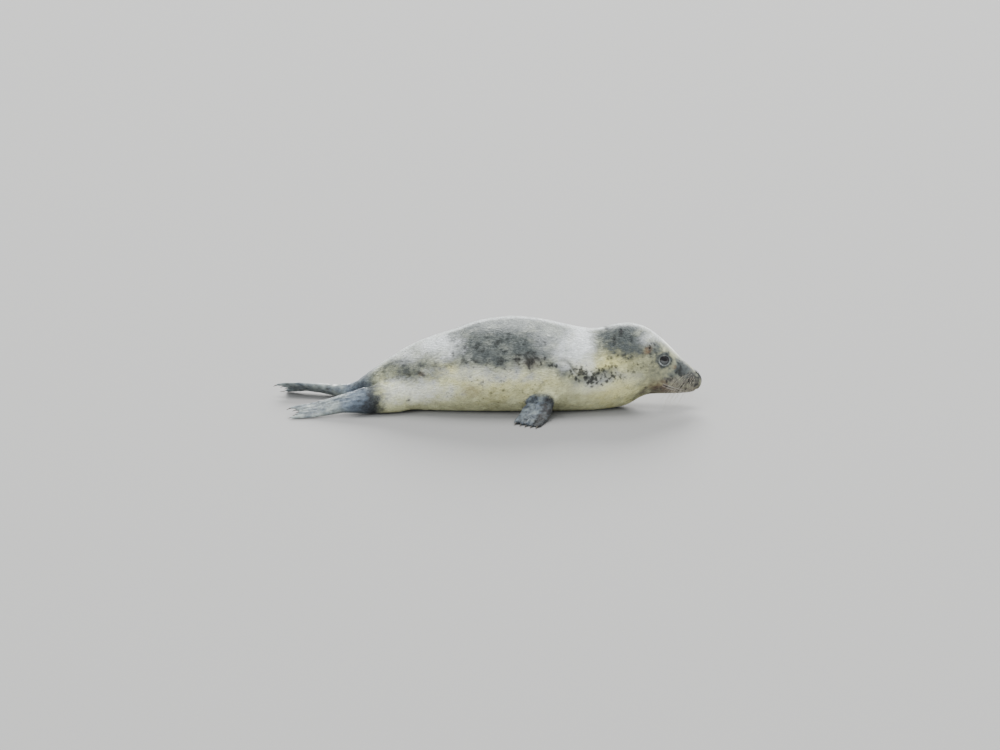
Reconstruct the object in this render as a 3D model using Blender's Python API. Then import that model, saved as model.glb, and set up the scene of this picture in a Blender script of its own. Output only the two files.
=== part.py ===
"""Young grey seal lying on its belly, as a life-size still model in named parts.

The body is lofted whole from named stations along the back and the belly, and then parted
by thin plane cuts into muzzle, lower jaw, head, neck, chest, belly, hips and tail. Each
flipper is a lofted blade with five toes, fitted against the body, and each claw is fitted
against its toe. Frame: +X to the nose, +Y to the animal's left, +Z up, floor at Z = 0.
"""

import math
from collections import namedtuple

import bmesh
import bpy
from mathutils import Matrix, Vector
from mathutils.bvhtree import BVHTree

# Driving dimensions, in metres
LENGTH = 1.125  # nose tip to tail tip, along the floor
HEIGHT = 0.293  # floor to the top of the back
HALF_WIDTH = 0.158  # half the breadth of the chest
NOSE_X = 0.68  # nose tip, before the finished model is centred
EYE_RADIUS = 0.0175
EAR_RADIUS = 0.005
FORE_CLAW_LENGTH = 0.024
HIND_CLAW_LENGTH = 0.013
CLAW_TIP_RADIUS = 0.0006
CLAW_DROOP = 0.22  # how far a claw bends down, as a share of its length
GAP = 0.0003  # clearance between parts that touch
PRESS_BELOW = 0.006  # how far a cutter reaches under the floor

# Mesh fineness
BODY_SIDES = 28
BODY_STEP = 0.034  # ring spacing on the trunk
HEAD_STEP = 0.0115  # ring spacing on the head
CLAW_SIDES = 6

SIDES = {"right": -1.0, "left": 1.0}
UP = Vector((0.0, 0.0, 1.0))

# A station is one section of the body. back and belly are its highest and lowest points as
# (share of LENGTH behind the nose, share of HEIGHT above the floor), width is a share of
# HALF_WIDTH, and widest is how far up the section its greatest width lies. upper and lower
# are the fullness of its two halves: 2 is an ellipse, and more is squarer.
Station = namedtuple("Station", "name back belly width widest upper lower")
STATIONS = (
    Station("nose tip", (0.000, 0.290), (0.001, 0.246), 0.055, 0.52, 2.0, 2.0),
    Station("nose pad", (0.0015, 0.320), (0.004, 0.222), 0.105, 0.52, 2.2, 2.0),
    Station("nose", (0.007, 0.360), (0.012, 0.196), 0.160, 0.52, 2.3, 2.0),
    Station("nostrils", (0.024, 0.418), (0.031, 0.163), 0.235, 0.48, 2.3, 2.0),
    Station("whisker pads", (0.044, 0.489), (0.058, 0.152), 0.295, 0.44, 2.1, 2.0),
    Station("muzzle root", (0.066, 0.574), (0.089, 0.147), 0.345, 0.44, 2.1, 2.0),
    Station("eyes", (0.094, 0.687), (0.123, 0.145), 0.410, 0.46, 2.1, 2.0),
    Station("cheeks", (0.128, 0.804), (0.151, 0.138), 0.500, 0.46, 2.0, 2.0),
    Station("crown", (0.162, 0.889), (0.176, 0.104), 0.575, 0.46, 2.0, 2.1),
    Station("nape", (0.202, 0.933), (0.207, 0.038), 0.645, 0.45, 2.0, 2.2),
    Station("neck", (0.250, 0.917), (0.250, 0.002), 0.715, 0.44, 2.0, 2.3),
    Station("collar", (0.298, 0.867), (0.298, -0.018), 0.790, 0.43, 2.0, 2.4),
    Station("shoulders", (0.368, 0.896), (0.368, -0.020), 0.905, 0.42, 2.0, 2.5),
    Station("withers", (0.453, 0.977), (0.453, -0.020), 0.980, 0.42, 2.0, 2.6),
    Station("chest", (0.532, 1.000), (0.532, -0.020), 1.000, 0.42, 2.0, 2.6),
    Station("flank", (0.622, 0.961), (0.622, -0.018), 0.975, 0.42, 2.0, 2.6),
    Station("loin", (0.721, 0.830), (0.721, -0.018), 0.880, 0.42, 2.0, 2.5),
    Station("hips", (0.805, 0.718), (0.805, -0.014), 0.745, 0.42, 2.0, 2.4),
    Station("rump", (0.873, 0.566), (0.873, 0.006), 0.560, 0.44, 2.0, 2.2),
    Station("tail root", (0.930, 0.418), (0.927, 0.105), 0.300, 0.50, 2.0, 2.0),
    Station("tail", (0.968, 0.308), (0.963, 0.160), 0.165, 0.50, 2.2, 2.2),
    Station("tail tip", (0.992, 0.226), (0.990, 0.150), 0.095, 0.50, 2.2, 2.2),
    Station("tail end", (1.000, 0.188), (0.999, 0.160), 0.045, 0.50, 2.0, 2.0),
)
STATION_AT = {station.name: index for index, station in enumerate(STATIONS)}
NECK_STATION = STATION_AT["neck"]

# Where the body is parted, as places in the row of stations
MUZZLE_CUT = STATION_AT["muzzle root"] + 0.30
HEAD_CUT = STATION_AT["crown"] + 0.45
NECK_CUT = STATION_AT["collar"] + 0.10
CHEST_CUT = STATION_AT["chest"] + 0.55
BELLY_CUT = STATION_AT["loin"] + 0.35
TAIL_CUT = STATION_AT["tail root"] + 0.25

# A swell lifts or sinks the skin round a place on both sides of the body. place is
# (share of LENGTH behind the nose, metres from the midline, share of HEIGHT).
Swell = namedtuple("Swell", "name place radius lift")
SWELLS = (
    Swell("whisker pad", (0.046, 0.040, 0.250), 0.034, 0.007),
    Swell("nostril wing", (0.010, 0.018, 0.330), 0.018, 0.003),
    Swell("brow", (0.098, 0.050, 0.620), 0.026, 0.005),
    Swell("tear hollow", (0.078, 0.052, 0.440), 0.026, -0.004),
    Swell("cheek", (0.132, 0.080, 0.330), 0.045, 0.005),
    Swell("ear hollow", (0.150, 0.085, 0.620), 0.022, -0.002),
    Swell("throat", (0.190, 0.055, 0.060), 0.060, 0.004),
    Swell("shoulder", (0.400, 0.140, 0.330), 0.085, 0.010),
    Swell("thigh", (0.840, 0.105, 0.200), 0.080, 0.010),
    Swell("flank hollow", (0.770, 0.110, 0.520), 0.080, -0.006),
)

# Places on the head as (share of LENGTH behind the nose, share of HEIGHT)
EYE_PLACE = (0.1061, 0.556)
EYE_DEPTH = 0.0125  # eye's centre, under the surface of the head
EAR_PLACE = (0.1484, 0.690)
MOUTH_CORNER = (0.114, 0.285)
MOUTH_FRONT = (-0.010, 0.208)
MOUTH_SAG = 0.045  # how far the lip line dips between its ends, in shares of HEIGHT
JAW_ANGLE = (0.150, 0.100)  # where the jaw's rear edge meets the throat
NOSTRIL_PLACE = (0.004, 0.013, 0.355)

# Flippers. A section is (half breadth, half thickness, toe relief, toe stretch) in metres
# and shares: relief sinks the webs between the toes and stretch fans out the toe tips.
Section = namedtuple("Section", "breadth thickness relief stretch")
FORE_SECTIONS = (
    Section(0.046, 0.036, 0.00, 0.0),
    Section(0.046, 0.032, 0.00, 0.0),
    Section(0.048, 0.028, 0.00, 0.0),
    Section(0.051, 0.022, 0.10, 0.1),
    Section(0.053, 0.017, 0.25, 0.3),
    Section(0.053, 0.0135, 0.40, 0.6),
    Section(0.051, 0.010, 0.55, 0.9),
    Section(0.047, 0.0055, 0.50, 1.0),
)
FORE_PATH = (
    (0.210, 0.070, 0.085),
    (0.190, 0.112, 0.073),
    (0.175, 0.146, 0.054),
    (0.162, 0.178, 0.034),
    (0.150, 0.207, 0.020),
    (0.139, 0.235, 0.011),
    (0.130, 0.261, 0.008),
    (0.126, 0.276, 0.0055),
)
FORE_SWING = {"right": 0.0, "left": 14.0}  # turned back at the shoulder, in degrees
FORE_REACH = (0.030, 0.024, 0.016, 0.008, -0.002)  # toes, from the leading edge back
HIND_SECTIONS = (
    Section(0.060, 0.046, 0.00, 0.0),
    Section(0.056, 0.048, 0.00, 0.0),
    Section(0.052, 0.045, 0.00, 0.0),
    Section(0.046, 0.038, 0.00, 0.0),
    Section(0.041, 0.028, 0.12, 0.1),
    Section(0.040, 0.021, 0.28, 0.2),
    Section(0.041, 0.0155, 0.42, 0.5),
    Section(0.045, 0.0105, 0.55, 0.8),
    Section(0.047, 0.0075, 0.60, 1.0),
    Section(0.046, 0.0035, 0.50, 1.1),
)
HIND_PATHS = {
    "right": (
        (-0.225, 0.066, 0.066),
        (-0.285, 0.084, 0.054),
        (-0.335, 0.098, 0.049),
        (-0.375, 0.107, 0.044),
        (-0.415, 0.115, 0.040),
        (-0.455, 0.122, 0.036),
        (-0.495, 0.129, 0.028),
        (-0.535, 0.135, 0.020),
        (-0.568, 0.139, 0.017),
        (-0.588, 0.142, 0.015),
    ),
    "left": (
        (-0.225, 0.066, 0.066),
        (-0.285, 0.084, 0.052),
        (-0.337, 0.099, 0.041),
        (-0.383, 0.111, 0.031),
        (-0.430, 0.124, 0.021),
        (-0.477, 0.137, 0.021),
        (-0.524, 0.150, 0.026),
        (-0.571, 0.163, 0.0285),
        (-0.612, 0.174, 0.027),
        (-0.640, 0.182, 0.022),
    ),
}
HIND_ROLLS = {"right": (70.0, 26.0, 10.0), "left": (45.0, 22.0, 30.0)}
HIND_REACH = (0.030, 0.014, 0.005, 0.011, 0.026)

# joint is the section where a flipper is parted from the upper limb
Limb = namedtuple(
    "Limb", "name upper_name sections reach joint claw_length claw_radius claw_root"
)
FORE = Limb("fore", "fore_arm", FORE_SECTIONS, FORE_REACH, 3, FORE_CLAW_LENGTH, 0.0036, 0.010)
HIND = Limb("hind", "hind_leg", HIND_SECTIONS, HIND_REACH, 3, HIND_CLAW_LENGTH, 0.0022, 0.006)
TOES = 5
TOE_PITCH = 2.0 / TOES  # the blade runs from -1 to 1 across
BLADE_HALVES = 2 * TOES
WEB_RECESS = 0.010
TIP_ROLL = 0.55  # how far the underside of a toe follows its web


def along(share):
    """The X of a place that lies a share of the length behind the nose."""
    return NOSE_X - share * LENGTH


def hermite(low, high, low_slope, high_slope, t):
    """A cubic from low to high as t goes from 0 to 1, with these slopes at its ends."""
    cube, square = t**3, t**2
    return (
        (2 * cube - 3 * square + 1) * low
        + (cube - 2 * square + t) * low_slope
        + (3 * square - 2 * cube) * high
        + (cube - square) * high_slope
    )


def through(rows, place):
    """Reads a row of vectors at a place between two of them, on a smooth curve through all."""
    last = len(rows) - 1
    index = min(max(int(place), 0), last - 1)
    before = rows[max(index - 1, 0)]
    low, high = rows[index], rows[index + 1]
    after = rows[min(index + 2, last)]
    span = (high - low).length or 1.0
    back_span = (low - before).length or span
    front_span = (after - high).length or span
    low_slope = (high - before) * (span / (span + back_span))
    high_slope = (after - low) * (span / (span + front_span))
    return hermite(low, high, low_slope, high_slope, place - index)


BODY_ROWS = [
    Vector(
        (
            along(s.back[0]),
            s.back[1] * HEIGHT,
            along(s.belly[0]),
            s.belly[1] * HEIGHT,
            s.width * HALF_WIDTH,
            s.widest,
            s.upper,
            s.lower,
        )
    )
    for s in STATIONS
]
# Shape columns are scaled down inside the spline, so that spacing is set by distance.
SHAPE_SCALE = 0.01
for row in BODY_ROWS:
    for column in (5, 6, 7):
        row[column] *= SHAPE_SCALE


def section_at(place):
    """The back point, belly point, half width, widest share and fullness of a section."""
    row = through(BODY_ROWS, place)
    back = Vector((row[0], 0.0, row[1]))
    belly = Vector((row[2], 0.0, row[3]))
    shape = [row[column] / SHAPE_SCALE for column in (5, 6, 7)]
    return back, belly, row[4], *shape


def ease(distance, radius):
    """1 at a swell's centre, falling smoothly to 0 at its radius."""
    if distance >= radius:
        return 0.0
    return (1.0 - (distance / radius) ** 2) ** 2


def swollen(point, centre):
    """The point moved away from or towards the section's centre by each swell it is in."""
    outward = (point - centre).normalized()
    lift = 0.0
    for swell in SWELLS:
        x, y, z = along(swell.place[0]), swell.place[1], swell.place[2] * HEIGHT
        for side in SIDES.values():
            lift += swell.lift * ease((point - Vector((x, side * y, z))).length, swell.radius)
    return point + outward * lift


def body_ring(place, grow):
    """The points of one section, from the animal's left side up over the back."""
    back, belly, width, widest, upper, lower = section_at(place)
    middle = belly.lerp(back, widest)
    points = []
    for step in range(BODY_SIDES):
        angle = math.tau * step / BODY_SIDES
        across, rise = math.cos(angle), math.sin(angle)
        edge, fullness = (back, upper) if rise >= 0 else (belly, lower)
        y = math.copysign(abs(across) ** (2 / fullness), across) * width
        point = middle + (edge - middle) * abs(rise) ** (2 / fullness)
        point.y = y
        point = swollen(point, middle)
        point += (point - middle).normalized() * grow
        points.append(point)
    return points


def body_places():
    """Places of the rings: one at each station, closer together on the head."""
    places = []
    for index in range(len(STATIONS) - 1):
        near, far = section_at(index), section_at(index + 1)
        reach = max((far[0] - near[0]).length, (far[1] - near[1]).length)
        step = HEAD_STEP if index < NECK_STATION - 1 else BODY_STEP
        count = max(round(reach / step), 1)
        places.extend(index + share / count for share in range(count))
    return [*places, len(STATIONS) - 1]


def loft(rings, close_tip=None):
    """A closed bmesh through the rings. close_tip closes a last ring that isn't flat."""
    bm = bmesh.new()
    loops = [[bm.verts.new(point) for point in ring] for ring in rings]
    for near, far in zip(loops, loops[1:]):
        for this in range(len(near)):
            bm.faces.new((near[this - 1], near[this], far[this], far[this - 1]))
    bm.faces.new(loops[0])
    if close_tip:
        close_tip(bm, loops[-1])
    else:
        bm.faces.new(loops[-1])
    bmesh.ops.recalc_face_normals(bm, faces=bm.faces[:])
    bmesh.ops.triangulate(bm, faces=bm.faces[:], quad_method="FIXED")
    return bm


def press_on_floor(bm, level=0.0):
    """Flattens what lies under the floor, as flesh does where the animal's weight rests."""
    for vert in bm.verts:
        vert.co.z = max(vert.co.z, level)


def whole_body(grow=0.0, level=0.0):
    bm = loft([body_ring(place, grow) for place in body_places()])
    press_on_floor(bm, level)
    return bm


def make_material(name, colour, roughness):
    material = bpy.data.materials.new(name)
    material.use_nodes = True
    shader = material.node_tree.nodes["Principled BSDF"]
    shader.inputs["Base Color"].default_value = (*colour, 1.0)
    shader.inputs["Roughness"].default_value = roughness
    shader.inputs["Metallic"].default_value = 0.0
    return material


def add_object(name, bm, material, flat_angle=50.0):
    """Turns a bmesh into a named object of the model, shaded smooth."""
    mesh = bpy.data.meshes.new(name)
    bm.to_mesh(mesh)
    bm.free()
    mesh.shade_smooth()
    mesh.set_sharp_from_angle(angle=math.radians(flat_angle))
    mesh.materials.append(material)
    obj = bpy.data.objects.new(name, mesh)
    bpy.context.scene.collection.objects.link(obj)
    return obj


def add_cutter(name, bm):
    """A helper shape for a Boolean, left out of the model."""
    mesh = bpy.data.meshes.new(name)
    bm.to_mesh(mesh)
    bm.free()
    obj = bpy.data.objects.new(name, mesh)
    bpy.context.scene.collection.objects.link(obj)
    obj.hide_render = True
    obj.display_type = "WIRE"
    return obj


def cut(obj, cutter, operation="DIFFERENCE"):
    modifier = obj.modifiers.new(cutter.name, "BOOLEAN")
    modifier.operation = operation
    modifier.solver = "EXACT"
    modifier.object = cutter


# Body


def plane_at(place):
    """The plane of the section at a place, with its normal towards the tail."""
    back, belly = section_at(place)[:2]
    rise = (back - belly).normalized()
    return back.lerp(belly, 0.5), Vector((-rise.z, 0.0, rise.x))


def part_at(bm, middle, normal, keep_front):
    """Cuts a closed mesh on a plane, half a gap clear of it, and closes the cut end."""
    made = bmesh.ops.bisect_plane(
        bm,
        geom=bm.verts[:] + bm.edges[:] + bm.faces[:],
        plane_co=middle + normal * (GAP / 2 if keep_front else -GAP / 2),
        plane_no=normal,
        clear_inner=keep_front,
        clear_outer=not keep_front,
    )
    rim = [item for item in made["geom_cut"] if isinstance(item, bmesh.types.BMEdge)]
    bmesh.ops.edgeloop_fill(bm, edges=rim)
    bmesh.ops.recalc_face_normals(bm, faces=bm.faces[:])


def slice_body(front_place, rear_place):
    """The part of the body between two places, with its cut ends closed."""
    bm = whole_body()
    if front_place is not None:
        part_at(bm, *plane_at(front_place), True)
    if rear_place is not None:
        part_at(bm, *plane_at(rear_place), False)
    return bm


def on_surface(tree, place, side):
    """The point and outward normal where a line from the side meets the body."""
    start = Vector((along(place[0]), side * HALF_WIDTH * 2, place[1] * HEIGHT))
    point, normal, _, _ = tree.ray_cast(start, Vector((0.0, -side, 0.0)))
    return point, normal


def lip_line(steps=6):
    """Points of the mouth in side view, from the corner to the front."""
    points = []
    for step in range(steps + 1):
        t = step / steps
        x = MOUTH_CORNER[0] + (MOUTH_FRONT[0] - MOUTH_CORNER[0]) * t
        z = MOUTH_CORNER[1] + (MOUTH_FRONT[1] - MOUTH_CORNER[1]) * t
        z -= MOUTH_SAG * 4 * t * (1 - t) * (1 - t)
        points.append((x, z))
    return points


def jaw_wedge(grow):
    """A block that holds the lower jaw, bounded above by the lips and behind by the cheek."""
    outline = lip_line() + [(MOUTH_FRONT[0], -0.1), (JAW_ANGLE[0] + 0.04, -0.1)]
    outline.append(JAW_ANGLE)
    bm = bmesh.new()
    verts = [
        bm.verts.new((along(x), -HALF_WIDTH, z * HEIGHT + grow)) for x, z in outline
    ]
    face = bm.faces.new(verts)
    made = bmesh.ops.extrude_face_region(bm, geom=[face])
    far = [item for item in made["geom"] if isinstance(item, bmesh.types.BMVert)]
    bmesh.ops.translate(bm, verts=far, vec=(0.0, 2 * HALF_WIDTH, 0.0))
    behind = [vert for vert in bm.verts if vert.co.x < along(MOUTH_CORNER[0]) + GAP]
    bmesh.ops.translate(bm, verts=behind, vec=(-grow, 0.0, 0.0))
    bmesh.ops.recalc_face_normals(bm, faces=bm.faces[:])
    return bm


def ball(radius, centre, segments, rings):
    bm = bmesh.new()
    bmesh.ops.create_uvsphere(bm, u_segments=segments, v_segments=rings, radius=radius)
    bmesh.ops.translate(bm, verts=bm.verts, vec=centre)
    return bm


def add_body(materials):
    """Muzzle, jaw, head, neck, chest, belly, hips and tail, and the eyes in their sockets."""
    fur = materials["fur"]
    muzzle = add_object("muzzle", slice_body(None, MUZZLE_CUT), fur)
    head = add_object("head", slice_body(MUZZLE_CUT, HEAD_CUT), fur)
    add_object("neck", slice_body(HEAD_CUT, NECK_CUT), fur)
    add_object("chest", slice_body(NECK_CUT, CHEST_CUT), fur)
    add_object("belly", slice_body(CHEST_CUT, BELLY_CUT), fur)
    add_object("hips", slice_body(BELLY_CUT, TAIL_CUT), fur)
    add_object("tail", slice_body(TAIL_CUT, None), materials["bare"])

    jaw = add_object("lower_jaw", slice_body(None, HEAD_CUT), fur)
    cut(jaw, add_cutter("jaw_block", jaw_wedge(0.0)), "INTERSECT")
    jaw_room = add_cutter("jaw_room", jaw_wedge(GAP))
    cut(muzzle, jaw_room)
    cut(head, jaw_room)

    tree = BVHTree.FromBMesh(whole_body())
    for side_name, side in SIDES.items():
        point, normal = on_surface(tree, EYE_PLACE, side)
        centre = point - normal * EYE_DEPTH
        eye = ball(EYE_RADIUS, centre, 16, 10)
        add_object(f"eye_{side_name}", eye, materials["eye"])
        socket = ball(EYE_RADIUS + 2 * GAP, centre, 16, 10)
        cut(head, add_cutter(f"socket_{side_name}", socket))
        point, normal = on_surface(tree, EAR_PLACE, side)
        ear = ball(EAR_RADIUS, point, 8, 5)
        cut(head, add_cutter(f"ear_hole_{side_name}", ear))
        nostril = ball(1.0, Vector(), 8, 6)
        shape = Matrix.Diagonal((0.006, 0.0025, 0.007, 1.0))
        lean = Matrix.Rotation(math.radians(-side * 18.0), 4, "X")
        x, y, z = NOSTRIL_PLACE
        seat = Matrix.Translation((along(x), side * y, z * HEIGHT))
        bmesh.ops.transform(nostril, matrix=seat @ lean @ shape, verts=nostril.verts)
        cut(muzzle, add_cutter(f"nostril_{side_name}", nostril))


# Flippers


def blade_frame(path, place, roll, side):
    """Centre, way along, way across and top normal of a flipper at a place on its path."""
    centre = through(path, place)
    probe = 0.02
    ahead = through(path, min(place + probe, len(path) - 1.0))
    behind = through(path, max(place - probe, 0.0))
    forward = (ahead - behind).normalized()
    across = forward.cross(UP).normalized() * side
    across = Matrix.Rotation(math.radians(roll) * side, 3, forward) @ across
    normal = across.cross(forward).normalized() * side
    return centre, forward, across, normal


def web_depth(v):
    """0 on a toe and 1 on the web between two toes, for v from -1 to 1 across the blade."""
    return 0.5 - 0.5 * math.cos(math.tau * (v / TOE_PITCH)) if abs(v) < 0.85 else 0.0


def toe_reach(reach, v):
    """How far the tip of the blade stands out at v, read between the toes' own reaches."""
    toe = min(max((1.0 - v) / TOE_PITCH - 0.5, 0.0), TOES - 1.0)
    index = min(int(toe), TOES - 2)
    share = toe - index
    return reach[index] * (1 - share) + reach[index + 1] * share


def blade_ring(frame, section, reach, grow):
    """One ring round a flipper: over its top from edge to edge, and back underneath."""
    centre, forward, across, normal = frame
    points = []
    for step in range(2 * BLADE_HALVES):
        v = 1.0 - step * 2 / BLADE_HALVES
        top = v >= -1.0
        if not top:
            v = -2.0 - v
        web = web_depth(v)
        round_off = max(1.0 - abs(v) ** 2.6, 0.0) ** 0.5
        follow = 1.0 if top else TIP_ROLL
        thickness = section.thickness * round_off * (1 - section.relief * web * follow)
        height = (thickness + grow) * (1.0 if top else -1.0)
        spread = section.breadth * v
        if abs(v) > 0.999:
            height = 0.0
            spread += math.copysign(grow, v)
        stretch = section.stretch * (toe_reach(reach, v) - WEB_RECESS * web) + grow
        points.append(centre + forward * stretch + across * spread + normal * height)
    return points


def close_blade(bm, ring):
    """Closes a flipper's scalloped tip with one quad for each pair of points."""
    last = len(ring)
    for step in range(1, BLADE_HALVES - 1):
        bm.faces.new((ring[step], ring[step + 1], ring[last - step - 1], ring[last - step]))
    bm.faces.new((ring[0], ring[1], ring[last - 1]))
    middle = BLADE_HALVES
    bm.faces.new((ring[middle - 1], ring[middle], ring[middle + 1]))


def blend_rolls(rolls, share):
    """A roll angle read from three values at the root, middle and tip."""
    if share < 0.5:
        return rolls[0] + (rolls[1] - rolls[0]) * share * 2
    return rolls[1] + (rolls[2] - rolls[1]) * (share - 0.5) * 2


def swung(path, degrees):
    """A path on the left turned back about the upright line through its first point."""
    root = path[0]
    turn = Matrix.Rotation(math.radians(degrees), 3, "Z")
    return [root + turn @ (point - root) for point in path]


def flipper_frames(path, rolls, side):
    """A frame at each point of a path. Paths are given for the left side."""
    path = [Vector((point.x, point.y * side, point.z)) for point in path]
    last = len(path) - 1
    return [blade_frame(path, i, blend_rolls(rolls, i / last), side) for i in range(last + 1)]


def flipper_mesh(frames, sections, reach, grow=0.0, level=0.0):
    rings = [blade_ring(f, s, reach, grow) for f, s in zip(frames, sections)]
    bm = loft(rings, close_blade)
    press_on_floor(bm, level)
    return bm


def claw_mesh(base, forward, normal, length, thick):
    """A curved tapering claw that grows from base and bends away from the normal."""
    tip = base + forward * length - normal * (length * CLAW_DROOP)
    tip.z = max(tip.z, 2 * CLAW_TIP_RADIUS)
    bend = base + forward * (length * 0.55)
    side = forward.cross(normal).normalized()
    rings = []
    steps = 5
    for step in range(steps + 1):
        t = step / steps
        centre = base.lerp(bend, t).lerp(bend.lerp(tip, t), t)
        up = side.cross((bend.lerp(tip, t) - base.lerp(bend, t)).normalized())
        root = min(0.4 + 3.0 * t, 1.0)
        radius = CLAW_TIP_RADIUS + (thick * root - CLAW_TIP_RADIUS) * (1 - t**1.6)
        rings.append([])
        for corner in range(CLAW_SIDES):
            angle = math.tau * corner / CLAW_SIDES
            rim = side * (0.8 * math.cos(angle)) + up * math.sin(angle)
            rings[-1].append(centre + rim * radius)
    return loft(rings)


def add_flipper(limb, side_name, frames, body_room, materials):
    """An upper limb and a flipper fitted against the body, and a claw against each toe."""
    bm = flipper_mesh(frames, limb.sections, limb.reach)
    middle, forward = frames[limb.joint][:2]
    upper = bm.copy()
    part_at(upper, middle, forward, False)
    part_at(bm, middle, forward, True)
    upper = add_object(f"{limb.upper_name}_{side_name}", upper, materials["fur"])
    cut(upper, body_room)
    add_object(f"{limb.name}_flipper_{side_name}", bm, materials["bare"])
    toe_room = add_cutter(
        f"{limb.name}_toe_room_{side_name}",
        flipper_mesh(frames, limb.sections, limb.reach, 3 * GAP, -PRESS_BELOW),
    )
    centre, forward, across, normal = frames[-1]
    section = limb.sections[-1]
    for toe in range(TOES):
        v = 1.0 - TOE_PITCH * (toe + 0.5)
        tip = centre + forward * (section.stretch * toe_reach(limb.reach, v))
        base = tip + across * (section.breadth * v) - forward * limb.claw_root
        base.z = max(base.z, limb.claw_radius + 0.0008)
        length = limb.claw_length + limb.claw_root
        claw = claw_mesh(base, forward, normal, length, limb.claw_radius)
        piece = add_object(f"{limb.name}_claw_{side_name}_{toe + 1}", claw, materials["claw"])
        cut(piece, toe_room)


def add_flippers(materials):
    body_room = add_cutter("body_room", whole_body(GAP, -PRESS_BELOW))
    for side_name, side in SIDES.items():
        path = swung([Vector(point) for point in FORE_PATH], FORE_SWING[side_name])
        frames = flipper_frames(path, (0.0, 0.0, 0.0), side)
        add_flipper(FORE, side_name, frames, body_room, materials)
        path = [Vector(point) for point in HIND_PATHS[side_name]]
        frames = flipper_frames(path, HIND_ROLLS[side_name], side)
        add_flipper(HIND, side_name, frames, body_room, materials)


# Model


def centre_on_origin():
    """Hangs everything on one empty and moves it, so the origin is under the model's middle."""
    bpy.context.view_layer.update()
    graph = bpy.context.evaluated_depsgraph_get()
    low, high = Vector((1e9,) * 3), Vector((-1e9,) * 3)
    for obj in bpy.context.scene.objects:
        if obj.hide_render:
            continue
        mesh = obj.evaluated_get(graph).to_mesh()
        for vert in mesh.vertices:
            low = Vector(map(min, low, vert.co))
            high = Vector(map(max, high, vert.co))
    seal = bpy.data.objects.new("seal", None)
    for obj in bpy.context.scene.objects:
        obj.parent = seal
    bpy.context.scene.collection.objects.link(seal)
    middle = (low + high) / 2
    seal.location = (-middle.x, -middle.y, 0.0)


def main():
    for obj in list(bpy.data.objects):
        bpy.data.objects.remove(obj)
    materials = {
        "fur": make_material("mottled fur", (0.62, 0.61, 0.53), 0.75),
        "bare": make_material("flipper fur", (0.28, 0.31, 0.35), 0.55),
        "claw": make_material("claw horn", (0.06, 0.055, 0.05), 0.35),
        "eye": make_material("eye", (0.012, 0.010, 0.009), 0.05),
    }
    add_body(materials)
    add_flippers(materials)
    centre_on_origin()


main()
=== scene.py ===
"""The looks of a life-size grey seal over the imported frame: skin, coat, eyes, claws and whiskers."""

import math

import bmesh
import bpy
import numpy as np
from mathutils import Matrix, Vector, noise
from mathutils.bvhtree import BVHTree


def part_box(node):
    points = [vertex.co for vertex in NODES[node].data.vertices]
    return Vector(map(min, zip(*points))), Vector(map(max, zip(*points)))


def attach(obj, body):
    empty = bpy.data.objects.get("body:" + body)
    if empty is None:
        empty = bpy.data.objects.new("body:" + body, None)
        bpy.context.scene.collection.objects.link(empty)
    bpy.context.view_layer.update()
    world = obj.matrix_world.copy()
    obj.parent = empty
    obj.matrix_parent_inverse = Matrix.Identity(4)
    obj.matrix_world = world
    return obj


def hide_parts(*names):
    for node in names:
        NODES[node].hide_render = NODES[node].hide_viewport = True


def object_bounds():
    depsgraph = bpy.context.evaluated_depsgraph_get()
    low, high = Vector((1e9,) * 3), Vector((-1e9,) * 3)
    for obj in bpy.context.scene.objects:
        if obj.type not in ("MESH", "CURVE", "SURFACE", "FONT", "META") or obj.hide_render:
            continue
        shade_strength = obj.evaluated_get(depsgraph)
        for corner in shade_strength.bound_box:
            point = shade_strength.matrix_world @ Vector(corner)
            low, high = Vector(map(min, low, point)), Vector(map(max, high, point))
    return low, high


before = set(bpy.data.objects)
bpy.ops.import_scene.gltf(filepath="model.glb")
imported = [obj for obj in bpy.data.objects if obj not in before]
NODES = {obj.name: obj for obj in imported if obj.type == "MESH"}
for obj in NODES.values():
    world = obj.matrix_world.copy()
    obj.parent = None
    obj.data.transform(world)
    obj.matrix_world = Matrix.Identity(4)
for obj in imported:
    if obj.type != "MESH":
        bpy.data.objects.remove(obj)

bl_info = {
    "name": "Grey Seal",
    "version": (1, 0, 0),
    "blender": (4, 5, 0),
    "location": "View3D > Sidebar > Seal",
    "description": "Dresses a grey seal's frame with skin, coat, eyes, claws and whiskers",
    "category": "Object",
}

CAD_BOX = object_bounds()
SIDES = {"right": -1, "left": 1}
TOES = range(1, 6)
FLESH = [n for n in NODES if not n.startswith(("eye_", "fore_claw_", "hind_claw_"))]
LIMBS = {"fore": "fore_arm", "hind": "hind_leg"}


def middle(node):
    """The middle of a node's box."""
    low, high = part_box(node)
    return (low + high) / 2


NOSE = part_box("muzzle")[1].x
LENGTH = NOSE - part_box("tail")[0].x
HEIGHT = CAD_BOX[1].z
MID = middle("muzzle").y
CUT_WIDTH = 0.0004
SEED = 7
# Farther off, in metres, than any place on the seal.
FAR = 9.0
# How far the camera aims ahead of the middle, and how far up in its view.
VIEW_SHIFT = 0.0464
VIEW_RISE = 0.100

# The coat: the most triangles of a piece, the fewest tufts of one on the body, the length from which
# a tuft is bent, a tuft's width in the bake map and how deep its root reaches.
MOST_TRIANGLES = 190000
FEWEST_TUFTS = 400
BENT_FROM = 0.0058
BAKE_PATCH = 0.003
ROOT_DEPTH = 0.0004

# The body map: a place is (share of the length from the nose, share of the height), seen from the side.
MOUTH_CORNER = (0.114, 0.285)
MOUTH_FRONT = (-0.010, 0.208)
MOUTH_SAG = 0.045
EAR = (0.1484, 0.690)
# The nose pad: its half width in metres, then its middle's height and half its height as shares.
NOSE_PAD = (0.0190, 0.338, 0.078)
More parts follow.
